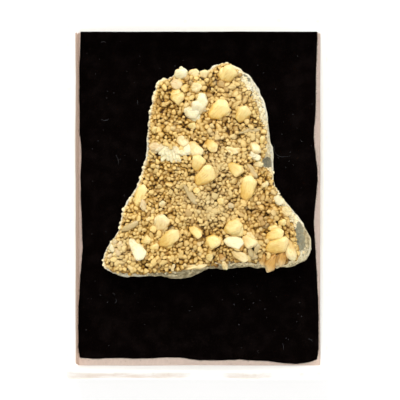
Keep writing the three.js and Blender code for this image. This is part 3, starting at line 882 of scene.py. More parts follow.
def pad_shape(look, across=210, along=280):
    """The top is a Coons patch: the blend of opposite sides both ways, less the blend of the four
    corners. Its waves are noise, it dips 0.12 mm round the rock's foot, and the rim below it
    follows a rounded edge down to a flat underside. Gives points, faces and the top's edge."""
    bottom, right, top, left = pad_sides((across, along))
    u, v = np.linspace(0, 1, across)[None, :, None], np.linspace(0, 1, along)[:, None, None]
    ruled = bottom[None] * (1 - v) + top[None] * v + left[:, None] * (1 - u) + right[:, None] * u
    low, high = ((row[0] * (1 - u), row[-1] * u) for row in (bottom, top))
    cornered = low[0] * (1 - v) + low[1] * (1 - v) + high[0] * v + high[1] * v
    flat = (ruled - cornered).reshape(-1, 2)
    order = np.arange(across * along).reshape(along, across)
    rim = np.concatenate([order[0, :-1], order[:-1, -1], order[-1, :0:-1], order[:0:-1, 0]])
    edge = flat[rim]
    inward = np.clip(edge_distance(flat, edge[::4]) / 0.9, 0, 1)
    radius = look.rounding / MM
    crown = -radius * (1 - np.sqrt(inward * (2 - inward)))
    waves = look.unevenness / MM * (0.7 * noise(flat, 9.0, 41) + 0.3 * rough(flat, 1.3, 43, 3) - 0.4)
    dip = -0.12 * (1 - smoothstep(edge_distance(flat, PLAN), 0.2, 2.2))
    upper = np.column_stack([flat, PAD_TOP + np.minimum(crown + waves + dip, 0.0)])

    outward = outward_of(edge)
    below = []
    for step in np.linspace(0, 1, 9)[1:]:
        height = (upper[rim, 2] - FLOOR_TOP) * (1 - step)
        curl = 1 - np.clip(height / radius, 0, 1)
        inset = radius * (1 - np.sqrt(1 - curl**2)) - 0.12 * np.sin(np.pi * step)
        below.append(np.column_stack([edge - outward * inset[:, None], FLOOR_TOP + height]))
    rings = np.array(below + [below[-1] * (s, s, 1) for s in (0.8, 0.4)])
    numbers = np.arange(rings[..., 0].size).reshape(len(rings), len(rim)) + len(upper)
    rows = np.vstack([rim, numbers])
    quads = [grid_faces(along, across, wrap_columns=False)]
    for above, under in zip(rows, rows[1:]):
        quads.append(np.stack([under, np.roll(under, -1), np.roll(above, -1), above], 1))
    points = np.vstack([upper, rings.reshape(-1, 3), (0.0, 0.0, FLOOR_TOP)])
    return points, [np.vstack(quads), fan_faces(rows[-1], len(points) - 1, False)], edge


def pile_shape(look, edge):
    """Tufts of pile: closed three-sided spikes. They stand at random on the pad and lean the way
    the cloth was brushed, swirled by noise. A fifth of them stand along its cut edge and lean
    out."""
    rng = np.random.default_rng(51)
    count = look.pile_count
    spread = np.stack([rng.uniform(-29, 29, count * 2), rng.uniform(-40, 40, count * 2)], 1)
    spread = spread[inside(spread, edge[::6])]
    away = edge_distance(spread, PLAN)
    spread = spread[~inside(spread, PLAN) | (away < 0.9)][: int(count * 0.8)]
    rim = even_loop(edge, count - len(spread))
    rim += rng.normal(0, 0.06, rim.shape)
    foot = np.vstack([spread, rim])
    on_rim = np.arange(len(foot)) >= len(spread)
    lean = toward(np.radians(250 + 70 * noise(foot, 14.0, 53) + rng.normal(0, 25, len(foot))))
    lean[on_rim] = outward_of(rim) + rng.normal(0, 0.35, rim.shape)
    tall = look.pile / MM * rng.uniform(0.6, 1.1, len(foot))
    depth = np.where(on_rim, rng.uniform(0.1, 1.6, len(foot)), 0.14)
    base = np.column_stack([foot, PAD_TOP - depth - 0.06])
    out, up = tall * np.where(on_rim, 0.55, 0.45), tall * np.where(on_rim, 0.35, 0.85) + 0.05
    tip = base + np.column_stack([lean * out[:, None], up])
    angle = rng.uniform(0, math.tau, len(foot))[:, None] + np.arange(3) * math.tau / 3
    around = 0.045 * np.dstack([toward(angle), np.zeros_like(angle)])
    points = np.concatenate([base[:, None] + around, tip[:, None]], 1)
    return copies(points, [np.array([(0, 2, 1), (0, 1, 3), (1, 2, 3), (2, 0, 3)])])


def velvet_material(name, look):
    """Black velvet: a painted sheen in the bloom colour gathers where noise opens the pile and in a fine
    cloth grain.
    """
    sheen = {"Sheen_Weight": 0.012, "Sheen_Roughness": 0.5, "Sheen_Tint": (0.6, 0.5, 0.45, 1)}
    graph = Finish(name, Specular_IOR_Level=0.0, **sheen)
    place = graph.place
    opened = graph.span(graph.noise(place, 0.35, 5), 0.42, 0.75, 0.0, 0.3)
    fine = graph.span(graph.noise(place, 4.0, 2), 0.5, 0.75, 0.0, 0.4)
    # Painted sheen over the black cloth.
    base = graph.mix(graph.math("ADD", opened, fine), look.velvet_color, look.sheen_color)
    return graph.done(base, graph.noise(place, 1.0), 0.85, 1.0, graph.relief(place, 4.0, 0.6, 0.12))


class MakeVelvet(bpy.types.Operator):
    """Build the velvet pad and its pile"""

    bl_idname = "stilbite.make_velvet"
    bl_label = "Velvet pad"

    def execute(self, context):
        look = context.scene.stilbite_velvet
        points, faces, edge = pad_shape(look)
        finish = velvet_material("velvet_cloth", look)
        cloth = make_piece("velvet_cloth", points, faces, finish, "velvet_pad")
        finish = velvet_material("velvet_pile", look)
        make_piece("velvet_pile", *pile_shape(look, edge), finish, "velvet_pad")
        return {"FINISHED"}


# ---------------- the matrix rock

# Where the rock shows bare, seen from above in mm: x, y, radius.
BARE_PLACES = [
    (23.5, -6.3, 0.9), (23.5, -7.9, 1.3), (23.6, -9.6, 1.5), (23.7, -11.2, 1.3), (16.0, 8.3, 1.5),
    (10.9, 28.9, 0.7), (11.7, 27.8, 0.6), (14.7, 23.3, 0.55),
]


def rock_shape(look, around=600, levels=60):
    """The rock's sides follow its section: rings of the outline set inward by the section's inset
    and a share of each point's flank. The unevenness is added along the surface's own normal:
    noise, and shell-shaped breaks where the side is cut back to a sphere's surface. Flat rings
    close the top and the foot."""
    plan, flank, outward = rock_plan(around)
    height, inset, flank_share = np.array(ROCK_SECTION).T
    t = np.linspace(0, 1, levels)
    by_level = lambda values: values[:, None, None]
    back = by_level(np.interp(t, height, inset)) + by_level(np.interp(t, height, flank_share)) * flank
    level = np.broadcast_to(by_level(PAD_TOP + t * (ROCK_TOP - PAD_TOP)), (levels, around, 1))
    side = np.concatenate([plan - outward * back, level], 2)

    normal = np.cross(np.roll(side, -1, 1) - np.roll(side, 1, 1), np.gradient(side, axis=0))
    normal /= np.linalg.norm(normal, axis=2)[..., None]
    flat, facing = side.reshape(-1, 3), normal.reshape(-1, 3)
    hold = np.repeat(smoothstep(t, 0, 0.1) * (1 - 0.75 * smoothstep(t, 0.9, 1.0)), around)
    ridges = np.abs(noise(flat * (1, 1, 2.4), 1.7, 67))
    push = look.chip / MM * (0.75 * rough(flat, 3.4, 61, 5, 0.55) - 0.15 + 0.35 * ridges)
    rng = np.random.default_rng(71)
    picks = rng.integers(0, len(flat), look.scoop_count)
    for pick, reach in zip(picks, rng.uniform(2.0, 5.5, len(picks))):
        centre = flat[pick] + facing[pick] * reach * rng.uniform(0.75, 0.95)
        gap = np.linalg.norm(flat - centre, axis=1)
        push -= np.clip(reach - gap, 0, 0.9) * 0.75
    flat = flat + facing * (np.clip(push, -1.3, 0.35) * hold)[:, None]
    side = flat.reshape(levels, around, 3)

    inward = lambda ring, s, z: np.column_stack([MIDDLE + (ring[:, :2] - MIDDLE) * s, np.full(around, z)])
    top = [inward(side[-1], s, ROCK_TOP - 0.05) for s in (0.96, 0.85, 0.6, 0.3)]
    foot = [inward(side[0], s, PAD_TOP - 0.1) for s in (0.3, 0.7, 0.97)]
    points, faces = closed_skin(np.concatenate([foot, side, top]))
    return points, faces, rock_layers(points)


def rock_layers(points):
    """The layers coat (how pale the druse is: patches of noise, none where the rock is bare, less low down,
    on the front side and at the right corner), bare (1 in BARE_PLACES) and rim, a painted highlight along the
    outline."""
    coat = 1.05 + 0.6 * rough(points, 4.0, 73, 4)
    front = smoothstep(-points[:, 1], 14.0, 16.5) * smoothstep(points[:, 0], -15.0, -10.0)
    front *= 1 + 0.35 * smoothstep(points[:, 0], 4.0, 10.0)
    coat += 0.6 * smoothstep(points[:, 2], PAD_TOP + 2, ROCK_TOP - 2) - 1.6 * front
    coat -= 1.5 * np.exp(-((points[:, 0] - 25.5) ** 2 + (points[:, 1] + 10.5) ** 2) / 16)
    bare = np.zeros(len(points))
    for x, y, reach in BARE_PLACES:
        gap = np.hypot(points[:, 0] - x, points[:, 1] - y) + 0.25 * noise(points, 1.2, 79)
        bare = np.maximum(bare, 1 - smoothstep(gap, reach * 0.75, reach))
    bare *= smoothstep(points[:, 2], PAD_TOP + 2.2, PAD_TOP + 3.6)
    return {"coat": np.clip(coat * (1 - bare), 0, 1), "bare": bare, "rim": rim_highlight_layer(points)}


def rim_highlight_layer(points):
    """A mask for a painted highlight along the rock's outline: how near points are to it, seen from above, 1
    within 0.15 mm and 0 from 0.7 mm in, weak on the front side and nothing low on the sides."""
    near = 1 - smoothstep(edge_distance(points[:, :2], PLAN[::3]), 0.15, 0.7)
    front = 1 - 0.85 * smoothstep(-points[:, 1], 12.0, 15.0) * smoothstep(points[:, 0], -15.0, -10.0)
    return near * front * smoothstep(points[:, 2], PAD_TOP + 2.0, PAD_TOP + 3.5)


def rock_material(look):
    """Olive-grey rock, a smoother blue-grey facet where it is bare, a pale drusy coat by its layer, thin
    brown cracks where noise crosses its middle value, a painted highlight along its outline and dark specks."""
    graph = Finish("matrix_rock_skin", Specular_IOR_Level=0.35)
    place = graph.place
    veins = graph.span(graph.noise(place, 1.1, 6, 0.65), 0.38, 0.62)
    rock = graph.mix(veins, look.rock_color, (0.36, 0.29, 0.15))
    clouds = graph.span(graph.noise(place, 1.5, 5), 0.35, 0.7)
    facet = graph.mix(clouds, look.facet_color, (0.38, 0.35, 0.23))
    base = graph.mix(graph.layer("bare"), rock, facet)
    crystals = graph.span(graph.noise(place, 1.6, 5), 0.38, 0.66)
    druse = graph.mix(crystals, look.coat_color, (0.90, 0.78, 0.48))
    patches = graph.span(graph.noise(place, 2.6, 4), 0.3, 0.7, -0.25, 0.25)
    coat = graph.math("ADD", graph.layer("coat"), patches)
    base = graph.mix(graph.span(coat, 0.35, 0.75), base, druse)
    crack = graph.math("ABSOLUTE", graph.math("SUBTRACT", graph.noise(place, 0.7, 5), 0.5))
    base = graph.mix(graph.span(crack, 0.02, 0.0, 0.0, 0.7), base, (0.26, 0.17, 0.06))
    # Painted highlight along the rock's outline.
    base = graph.mix(graph.times(graph.layer("rim"), 0.85), base, look.rim_color)
    base = graph.mix(graph.times(graph.specks(1.6, 0.33, 0.26), 0.5), base, look.speck_color)
    return graph.done(base, graph.noise(place, 1.1), 0.6, 0.9, graph.relief(place, 2.2, 0.6, 0.4))


class MakeRock(bpy.types.Operator):
    """Build the matrix rock with its broken sides"""

    bl_idname = "stilbite.make_rock"
    bl_label = "Matrix rock"

    def execute(self, context):
        look = context.scene.stilbite_rock
        points, faces, layers = rock_shape(look)
        make_piece("rock_plate", points, faces, rock_material(look), "matrix_rock", layers)
        return {"FINISHED"}


# ---------------- crystals as rounded solids


def cube_sphere(steps):
    """Directions spread over a ball from the grid on a cube's faces, and its quads facing out."""
    t = np.arange(steps + 1)
    keys, quads = {}, []
    for axis, sign in itertools.product(range(3), (0, steps)):
        for a, b in itertools.product(range(steps), repeat=2):
            loop = [(a, b), (a + 1, b), (a + 1, b + 1), (a, b + 1)]
            corner = [tuple(np.insert(pair, axis, sign)) for pair in loop]
            if (sign == 0) != (axis == 1):
                corner.reverse()
            quads.append([keys.setdefault(key, len(keys)) for key in corner])
    grid = np.tan((np.array(list(keys)) / steps * 2 - 1) * np.pi / 4)
    return grid / np.linalg.norm(grid, axis=1)[:, None], np.array(quads)


def rounded_solid(ways, planes, distances, sharpness):
    """How far a solid cut by planes reaches each way, with rounded edges: one over the p-norm of
    way . plane / distance, p being the sharpness. A high p gives crisp edges.
    ways (..., ways, 3), planes (..., planes, 3), distances (..., planes)."""
    facing = np.clip(np.einsum("...wi,...pi->...wp", ways, planes) / distances[..., None, :], 0, None)
    return 1 / np.maximum((facing**sharpness).sum(-1), 1e-12) ** (1 / sharpness)


def table_planes(length, width, thickness):
    """The faces of a table: two flat ones, six sides from HALF_TABLE and bevels between."""
    corners = np.vstack([HALF_TABLE, -HALF_TABLE]) * (length / 2, width / 2)
    after = np.roll(corners, -1, 0)
    edge = after - corners
    side = np.stack([edge[:, 1], -edge[:, 0]], 1)
    side /= np.linalg.norm(side, axis=1)[:, None]
    side_gap = (side * corners).sum(1)
    planes = [(0, 0, 1), (0, 0, -1)]
    gaps = [thickness / 2, thickness / 2]
    for normal, gap in zip(side, side_gap):
        planes.append((*normal, 0))
        gaps.append(gap)
        for up in (1, -1):
            slope = np.array([normal[0], normal[1], up * 0.9])
            planes.append(slope / np.linalg.norm(slope))
            gaps.append((gap + 0.9 * thickness / 2) * 0.80 / np.linalg.norm(slope))
    return np.array(planes, float), np.array(gaps, float)


def table_shape(length, width, thickness, sharpness, lump, rng, along=44, around=36):
    """A rounded table in its own frame: long axis x, thickness z. Its ways are those of an egg of
    the same size, from one end to the other, so the points are evenly spread. Its planes are a
    little askew, it tapers to one end, and growth ridges run along it."""
    planes, gaps = table_planes(length, width, thickness)
    planes = planes + rng.normal(0, 0.10, planes.shape)
    planes /= np.linalg.norm(planes, axis=1)[:, None]
    gaps = gaps * rng.uniform(0.86, 1.08, len(gaps))
    phi = np.linspace(0, np.pi, along + 2)[1:-1, None]
    theta = np.linspace(0, math.tau, around, endpoint=False)[None]
    slices = np.sin(phi) * np.cos(theta) * width, np.sin(phi) * np.sin(theta) * thickness
    egg = np.stack(np.broadcast_arrays(-np.cos(phi) * length, *slices), -1)
    ways = (egg / np.linalg.norm(egg, axis=2)[..., None]).reshape(-1, 3)
    points = ways * rounded_solid(ways, planes, gaps, sharpness)[:, None]
    ends = np.array([(-1.0, 0, 0), (1.0, 0, 0)])
    ends = ends * rounded_solid(ends, planes, gaps, sharpness)[:, None]
    points = np.vstack([points, ends])
    points *= (length, width, thickness) / np.ptp(points, axis=0)
    points[:, 1] *= 1 + rng.uniform(0.05, 0.36) * points[:, 0] / length * 2
    shift = rng.uniform(0, 90, 3)
    ridge = rough(points * (0.22, 1.6, 1.6) + shift, 1.0, 83, 3)
    points *= (1 + 0.045 * ridge + lump * rough(points + shift, 1.3, 89, 2))[:, None]
    return points, skin_faces(along, around)


def with_lobes(rows, most, seed):
    """The rows, each followed by up to `most` smaller tables grown into its side: half as long or
    more, set off along it and turned a little."""
    rng = np.random.default_rng(seed)
    out = []
    for x, y, long, wide, heading, lift in rows:
        out.append((x, y, long, wide, heading, lift))
        cos, sin = toward(math.radians(heading))
        for _ in range(rng.integers(0, most + 1)):
            size = rng.uniform(0.55, 0.78)
            along = rng.uniform(-0.3, 0.3) * long
            across = rng.choice((-1, 1)) * rng.uniform(0.12, 0.3) * wide
            place = (x + cos * along - sin * across, y + sin * along + cos * across)
            turned, raised = heading + rng.normal(0, 22), lift + rng.uniform(-12, 10)
            out.append((*place, long * size, wide * size, turned, raised))
    return out


def crystal_group(rows, look, sharpness, lump, seed):
    """Tables set on the carpet: each is rolled, its end lifted, turned to its heading, and moved so that its
    underside lies `sink` below the grain tips. Gives one mesh with the layers own place, rise, along (0 at
    the root end, 1 at the free end) and tone, lowered for small ones as painted shade."""
    rng = np.random.default_rng(seed)
    shapes, layers = [], []
    for x, y, long, wide, heading, lift in rows:
        thick = max(wide * look.thickness_share, look.least_thickness / MM)
        full = long / math.cos(math.radians(lift))
        shape, faces = table_shape(full, wide, thick, sharpness, lump, rng)
        matrix = turn(2, heading)[0] @ turn(1, -lift)[0] @ turn(0, rng.uniform(-14, 14))[0]
        ground = carpet_height(np.array([(x, y)]))[0] - look.sink / MM
        placed = shape @ matrix.T + (x, y, ground + thick / 2)
        shapes.append((placed, faces))
        above = placed[:, 2] - ground - 0.35
        rise = np.clip(0.5 * above / max(thick - 0.5, 0.7) + 0.5 * above / above.max(), 0, 1.1)
        layers.append({
            "own_place": (shape + rng.uniform(0, 50, 3)) * MM,
            "rise": rise,
            "along": shape[:, 0] / np.ptp(shape[:, 0]) + 0.5,
            # Painted shade: small crystals get a lower tone, so they are darker.
            "tone": np.full(len(shape), rng.uniform(0, 1) - 0.6 * (1 - smoothstep(long, 2.4, 4.0))),
        })
    layers = {title: np.concatenate([layer[title] for layer in layers]) for title in layers[0]}
    return *joined(shapes), layers


def crystal_material(name, body, tip, low, end, relief):
    """Stilbite tables: painted shade low down, the body colour, pale tops that are partly painted highlight
    and pale free ends, with milky clouds and fine growth lines along each crystal, which also bend the light.
    A little of the light passes through their edges."""
    glow = {"Subsurface_Weight": 0.2, "Subsurface_Radius": (1.0, 0.65, 0.4), "Subsurface_Scale": 0.25 * MM}
    graph = Finish(name, Specular_IOR_Level=0.35, Coat_Weight=0.06, Coat_Roughness=0.3, IOR=1.5, **glow)
    own = graph.layer("own_place", "Vector")
    base = graph.growth(own, 0.2, low, body, tip)
    combed = graph.stretched(own, 0.12, 1.0, 1.0)
    lines = graph.span(graph.noise(combed, 4.5, 3), 0.5, 0.68, 0.0, 0.4)
    base = graph.mix(lines, base, low)
    stained = graph.span(graph.noise(own, 0.9, 4), 0.55, 0.75, 0.0, 0.45)
    base = graph.mix(stained, base, low)
    milky = graph.span(graph.noise(own, 0.55, 3), 0.5, 0.72, 0.0, 0.4)
    base = graph.mix(milky, base, tip)
    base = graph.mix(graph.span(graph.layer("along"), 0.55, 1.0, 0.0, 0.7), base, end)
    return graph.done(base, graph.noise(own, 1.4), 0.26, 0.5, graph.relief(combed, 3.2, 0.3, relief))


def fan_shape(look, sharpness, lump):
    """The pale sheaf: blades that spread side by side from one root, in two layers."""
    rng = np.random.default_rng(97)
    headings = np.concatenate([np.linspace(-156, -34, 10), np.linspace(-132, -52, 7)])
    layer = np.repeat([0, 1], (10, 7))
    rows = []
    for heading, upper in zip(headings + rng.normal(0, 3, len(headings)), layer):
        long = FAN_REACH * rng.uniform(0.82, 1.04) * (0.8 if upper else 1)
        place = FAN_ROOT + toward(math.radians(heading)) * long * 0.56
        rows.append((*place, long * 0.9, rng.uniform(1.0, 1.6), heading, 9 + 9 * upper + rng.uniform(-5, 5)))
    return crystal_group(rows, look, sharpness, lump, 101)


# Each kind of larger crystal: sharpness of its edges, depth of its lumps as a share of its size, most lobes,
# and its colours at the tips (partly painted highlight), low down (painted shade, also used for its growth
# lines and stains) and at its free end.
FINISHES = {
    "honey": (17, 0.045, 1, (0.87, 0.67, 0.26), (0.50, 0.24, 0.03), (0.88, 0.72, 0.35)),
    "cream": (16, 0.055, 2, (0.86, 0.68, 0.33), (0.48, 0.26, 0.06), (0.88, 0.76, 0.44)),
    "rust": (16, 0.08, 2, (0.56, 0.31, 0.075), (0.10, 0.035, 0.006), (0.86, 0.68, 0.36)),
    "white": (8, 0.10, 3, (0.88, 0.78, 0.48), (0.58, 0.42, 0.18), (0.90, 0.84, 0.58)),
    "milky": (7, 0.13, 3, (0.79, 0.60, 0.31), (0.42, 0.26, 0.09), (0.80, 0.66, 0.38)),
    "glassy": (14, 0.03, 0, (0.57, 0.43, 0.20), (0.28, 0.17, 0.05), (0.62, 0.50, 0.27)),
    "sheaf": (12, 0.05, 0, (0.78, 0.67, 0.39), (0.30, 0.18, 0.055), (0.84, 0.77, 0.50)),
}


class MakeCrystals(bpy.types.Operator):
    """Build the larger stilbite crystals by kind"""

    bl_idname = "stilbite.make_crystals"
    bl_label = "Larger crystals"

    def execute(self, context):
        look = context.scene.stilbite_crystals
        for index, (kind, (sharpness, lump, lobes, *shades)) in enumerate(FINISHES.items()):
            body = getattr(look, f"{kind}_color")
            if kind == "sheaf":
                points, faces, layers = fan_shape(look, sharpness, lump)
            else:
                rows = with_lobes(CRYSTALS[kind], lobes, 151 + index)
                points, faces, layers = crystal_group(rows, look, sharpness, lump, 103 + index)
            material = crystal_material(f"{kind}_stilbite", body, *shades, lump * 1.4)
            make_piece(f"{kind}_crystals", points, faces, material, "stilbite_crust", layers)
        return {"FINISHED"}


# ---------------- the carpet of small crystals


def bed_shape(around=320, rows=46):
    """The bed under the grains: rings from the carpet's edge to the middle, 1.1 mm below the grain tips with
    0.15 mm of noise, closed by a flat skin a little way down in the rock. Its low rise gives it the gap
    colour: painted shade under the grains."""
    plan, flank, outward = rock_plan(around)
    edge = plan - outward * (flank + 0.1)
    scale = 1 - np.linspace(0, 0.985, rows) ** 1.1
    flat = MIDDLE + (edge - MIDDLE)[None] * scale[:, None, None]
    xy = flat.reshape(-1, 2)
    z = carpet_height(xy) - 1.1 + 0.15 * rough(xy, 1.1, 107, 3)
    top = np.column_stack([xy, np.maximum(z, ROCK_TOP + 0.02)]).reshape(rows, around, 3)
    under = np.concatenate([flat[::-9], flat[:1]])
    under = np.concatenate([under, np.full((*under.shape[:2], 1), ROCK_TOP - 0.5)], 2)
    points, faces = closed_skin(np.concatenate([under, top]))
    # A rise of 0.05 paints the bed in the gap colour: painted shade.
    return points, faces, {"rise": np.full(len(points), 0.05), "tone": np.full(len(points), 0.5)}


def relaxed(points, radii, fixed, fixed_radii, steps=40):
    """Pushes circles apart: each step moves both of a pair by 0.22 of their overlap, and points
    off the fixed circles by half of theirs."""
    for _ in range(steps):
        away = points[:, None] - points[None]
        gap = np.sqrt((away**2).sum(2)) + np.eye(len(points)) * 99
        overlap = np.clip((radii[:, None] + radii[None]) - gap, 0, None)
        points = points + 0.22 * (away / gap[..., None] * overlap[..., None]).sum(1)
        away = points[:, None] - fixed[None]
        gap = np.sqrt((away**2).sum(2)) + 1e-6
        overlap = np.clip(fixed_radii[None] + 0.6 * radii[:, None] - gap, 0, None)
        points = points + 0.5 * (away / gap[..., None] * overlap[..., None]).sum(1)
    return points


def crystal_footprints():
    """Circles that cover each larger crystal's footprint, three along its length, and the fan's."""
    centres, radii = [], []
    for rows in CRYSTALS.values():
        for x, y, long, wide, heading, _ in rows:
            for step, size in ((-0.28, 0.36), (0, 0.42), (0.28, 0.36)):
                centres.append((x, y) + toward(math.radians(heading)) * long * step)
                radii.append(max(wide * size, 0.6))
    for way in toward(np.radians((-142, -118, -94, -70, -46))):
        centres += [FAN_ROOT + way * part * FAN_REACH for part in (0.4, 0.72)]
        radii += [0.85, 0.85]
    return np.array(centres), np.array(radii)


def patch_layer(points, patches):
    """The sum of round patches, each fading as exp(-(distance / radius)^2)."""
    total = np.zeros(len(points))
    for x, y, reach, amount in patches:
        total += amount * np.exp(-((points[:, 0] - x) ** 2 + (points[:, 1] - y) ** 2) / reach**2)
    return np.clip(total, 0, 1)


def grain_places(look):
    """Where the grains stand: a triangular lattice, shaken, cleared under the larger crystals and
    relaxed until they just touch. Gives places and radii."""
    rng = np.random.default_rng(109)
    pitch = look.pitch / MM
    j, i = np.mgrid[-60:60, -60:60]
    lattice = np.stack([(i + j / 2) * pitch, j * math.sqrt(3) / 2 * pitch], -1).reshape(-1, 2)
    lattice = lattice + MIDDLE + rng.uniform(-0.38, 0.38, lattice.shape) * pitch
    edge = CARPET_EDGE - OUTWARD * 0.3
    places = lattice[inside(lattice, edge)]
    centres, footprint = crystal_footprints()
    places = places[(apart(places, centres) > footprint - 0.12).all(1)]
    coarse = 1 + patch_layer(places, COARSE_PATCHES)
    kept = rng.uniform(0, 1, len(places)) < 1 / coarse**2
    places, coarse = places[kept], coarse[kept]
    radii = look.grain / MM / 2 * coarse * np.clip(rng.lognormal(0, 0.24, len(places)), 0.6, 1.7)
    places = relaxed(places, radii * 0.93, centres, footprint)
    kept = inside(places, edge + OUTWARD * 0.1)
    return places[kept], radii[kept]


def flank_places(rng, count):
    """Random places on the flank between the carpet and the rock's outline, and the rock's height
    there from its section."""
    plan, flank, outward = rock_plan(count)
    across = 0.25 + 0.75 * rng.uniform(0, 1, (count, 1)) ** 0.7
    places = plan - outward * (flank * across + 0.1) + rng.normal(0, 0.06, plan.shape)
    height, _, flank_share = np.array(ROCK_SECTION)[2:].T
    tips = PAD_TOP + np.interp(across[:, 0], flank_share, height) * (ROCK_TOP - PAD_TOP)
    kept = (flank[:, 0] > 0.9) & ((places[:, 0] > 6) | (rng.uniform(0, 1, count) < 0.1))
    kept &= (places[:, 0] < 23.4) | (places[:, 1] > -5.0) | (rng.uniform(0, 1, count) < 0.12)
    for x, y, reach in BARE_PLACES:
        kept &= np.hypot(places[:, 0] - x, places[:, 1] - y) > reach * 0.95
    return places[kept], tips[kept]


def grain_shapes(places, radii, tips, steps, seed, heading=None, paler=0.0):
    """Blunt little crystals: rounded solids cut by ten random planes, of which two are a nearly
    flat head and foot. They are widened along a random way or the given heading in radians, drawn
    up into short columns and tilted both ways, mostly by less than 18 degrees. Gives the points,
    the faces and the layers rise, raised by `paler`, and tone."""
    rng = np.random.default_rng(seed)
    ways, quads = cube_sphere(steps)
    count = len(places)
    planes = rng.normal(size=(count, 10, 3))
    planes[:, 0] = np.array([0, 0, 1.0]) + rng.normal(0, 0.35, (count, 3))
    planes[:, 1] = -planes[:, 0]
    planes /= np.linalg.norm(planes, axis=2)[..., None]
    gaps = rng.uniform(0.66, 1.0, (count, 10))
    reach = np.minimum(rounded_solid(ways[None], planes, gaps, 16.0), 1.2)
    shape = ways[None] * reach[..., None] * radii[:, None, None] * 1.04
    stretch = rng.uniform(1.0, 1.38, count)[:, None]
    angle = rng.uniform(0, np.pi, count) if heading is None else heading
    way = toward(angle)[:, None]
    part = (shape[..., :2] * way).sum(2)
    shape[..., :2] += way * (part * (stretch - 1))[..., None]
    shape[..., 2] *= 1.45
    tilt = turn(2, np.degrees(angle)) @ turn(0, rng.normal(0, 18, count)) @ turn(1, rng.normal(0, 18, count))
    shape = shape @ tilt.transpose(0, 2, 1)
    points = shape + np.column_stack([places, tips - shape[..., 2].max(1)])[:, None]
    # The rise paints shade low between the grains and highlight on their tips, and grains that stand above
    # the carpet are painted lighter.
    rise = 1 - (tips[:, None] - points[..., 2]) / 0.78 + (tips - carpet_height(places))[:, None] * 0.6
    rise = np.clip(np.clip(rise, 0, 1.1) + paler, 0, 1.1)
    tone = np.repeat(rng.uniform(0, 1, count), len(ways))
    return *copies(points, [quads]), {"rise": rise.ravel(), "tone": tone}


# Patches of the carpet in mm: x, y, radius, how much larger the grains are there.
COARSE_PATCHES = [(6.0, 25.0, 7.0, 0.18), (-9.0, 21.0, 5.0, 0.1), (-12.0, 6.0, 4.0, 0.1)]
# The same for paler, greyer patches.
PALE_PATCHES = [
    (5.5, 8.5, 5.0, 0.5), (-1.0, 0.5, 6.0, 0.35), (4.0, -2.5, 5.0, 0.45), (9.0, 25.0, 6.0, 0.4),
    (-18.8, -12.0, 3.2, 0.8), (13.0, 14.0, 4.0, 0.25), (12.5, -12.0, 2.5, 0.5),
]
# The same for browner patches.
BROWN_PATCHES = [
    (15.0, -3.5, 6.0, 0.5), (4.0, 16.5, 5.5, 0.35), (-8.0, 19.0, 5.0, 0.3), (-3.0, -12.0, 5.0, 0.3),
    (-9.0, 3.0, 4.5, 0.2), (13.5, 7.0, 2.5, 0.3),
]


def grain_material(name, look):
    """Small stilbite crystals: painted shade in brown gaps, tan bodies and creamy tips that are partly
    painted highlight, paler or browner by patch, a few clear grains and a few rusty ones, a painted highlight
    along the rock's edge, with a soft gloss."""
    graph = Finish(name, Specular_IOR_Level=0.3, Coat_Weight=0.05, Coat_Roughness=0.3, IOR=1.5)
    place, tone = graph.place, graph.layer("tone")
    base = graph.growth(place, 0.34, look.gap_color, look.body_color, look.tip_color)
    raised = graph.span(graph.layer("rise"), 0.15, 0.75, 0.1, 0.8)
    base = graph.mix(graph.times(graph.layer("pale"), raised), base, look.pale_color)
    base = graph.mix(graph.layer("brown"), base, (0.72, 0.60, 0.50), "MULTIPLY")
    base = graph.mix(graph.span(tone, 0.93, 0.97, 0.0, 0.5), base, look.pale_color)
    base = graph.mix(graph.span(tone, 0.10, 0.05, 0.0, 0.4), base, (0.36, 0.17, 0.04))
    # Painted highlight along the rock's edge; on the druse this colour is its pale tone.
    base = graph.mix(graph.times(graph.layer("rim"), 0.8), base, look.rim_color)
    return graph.done(base, graph.noise(place, 1.7), 0.35, 0.6, graph.relief(place, 3.2, 0.4, 0.10))


def patched(points, layers):
    """The layers with the carpet's pale and brown patches and, where they have none, its rim: a painted
    highlight along the rock's edge.
    """
    patches = {"pale": patch_layer(points, PALE_PATCHES), "brown": patch_layer(points, BROWN_PATCHES)}
    return {"rim": rim_highlight_layer(points)} | layers | patches


def sway(places):
    """A wave of 0.22 mm in the height of neighbouring grains."""
    return 0.22 * noise(places, 2.3, 117)


def main_grains(look, rng):
    """The carpet's own grains: where they stand, their radii and the height of their tips."""
    places, radii = grain_places(look)
    uneven = np.clip(rng.normal(0, 0.29, len(places)), -0.7, 0.4)
    return places, radii, carpet_height(places) + uneven + (radii - 0.5) * 0.3 + sway(places)


def small_grains(look, rng, places, radii):
    """Smaller grains fill the widest gaps between the grains and beside the larger crystals."""
    spots = rng.uniform((-24, -20), (28, 33), (16000, 2))
    spots = spots[inside(spots, CARPET_EDGE - OUTWARD * 0.1)]
    centres, footprint = crystal_footprints()
    gap = apart(spots, places) - radii * 0.85
    beside = apart(spots, centres) - footprint * 0.95
    gap = np.minimum(gap.min(1), beside.min(1))
    widest = np.argsort(-gap)[:900]
    spots, gap = spots[widest], gap[widest]
    width = look.small_grain / MM / 2 * np.clip(gap * 3 + 0.5, 0.8, 1.5) * rng.uniform(0.8, 1.1, len(spots))
    low = carpet_height(spots) - rng.uniform(0.25, 0.8, len(spots)) + sway(spots)
    return grain_shapes(spots, width, low, 2, 131)


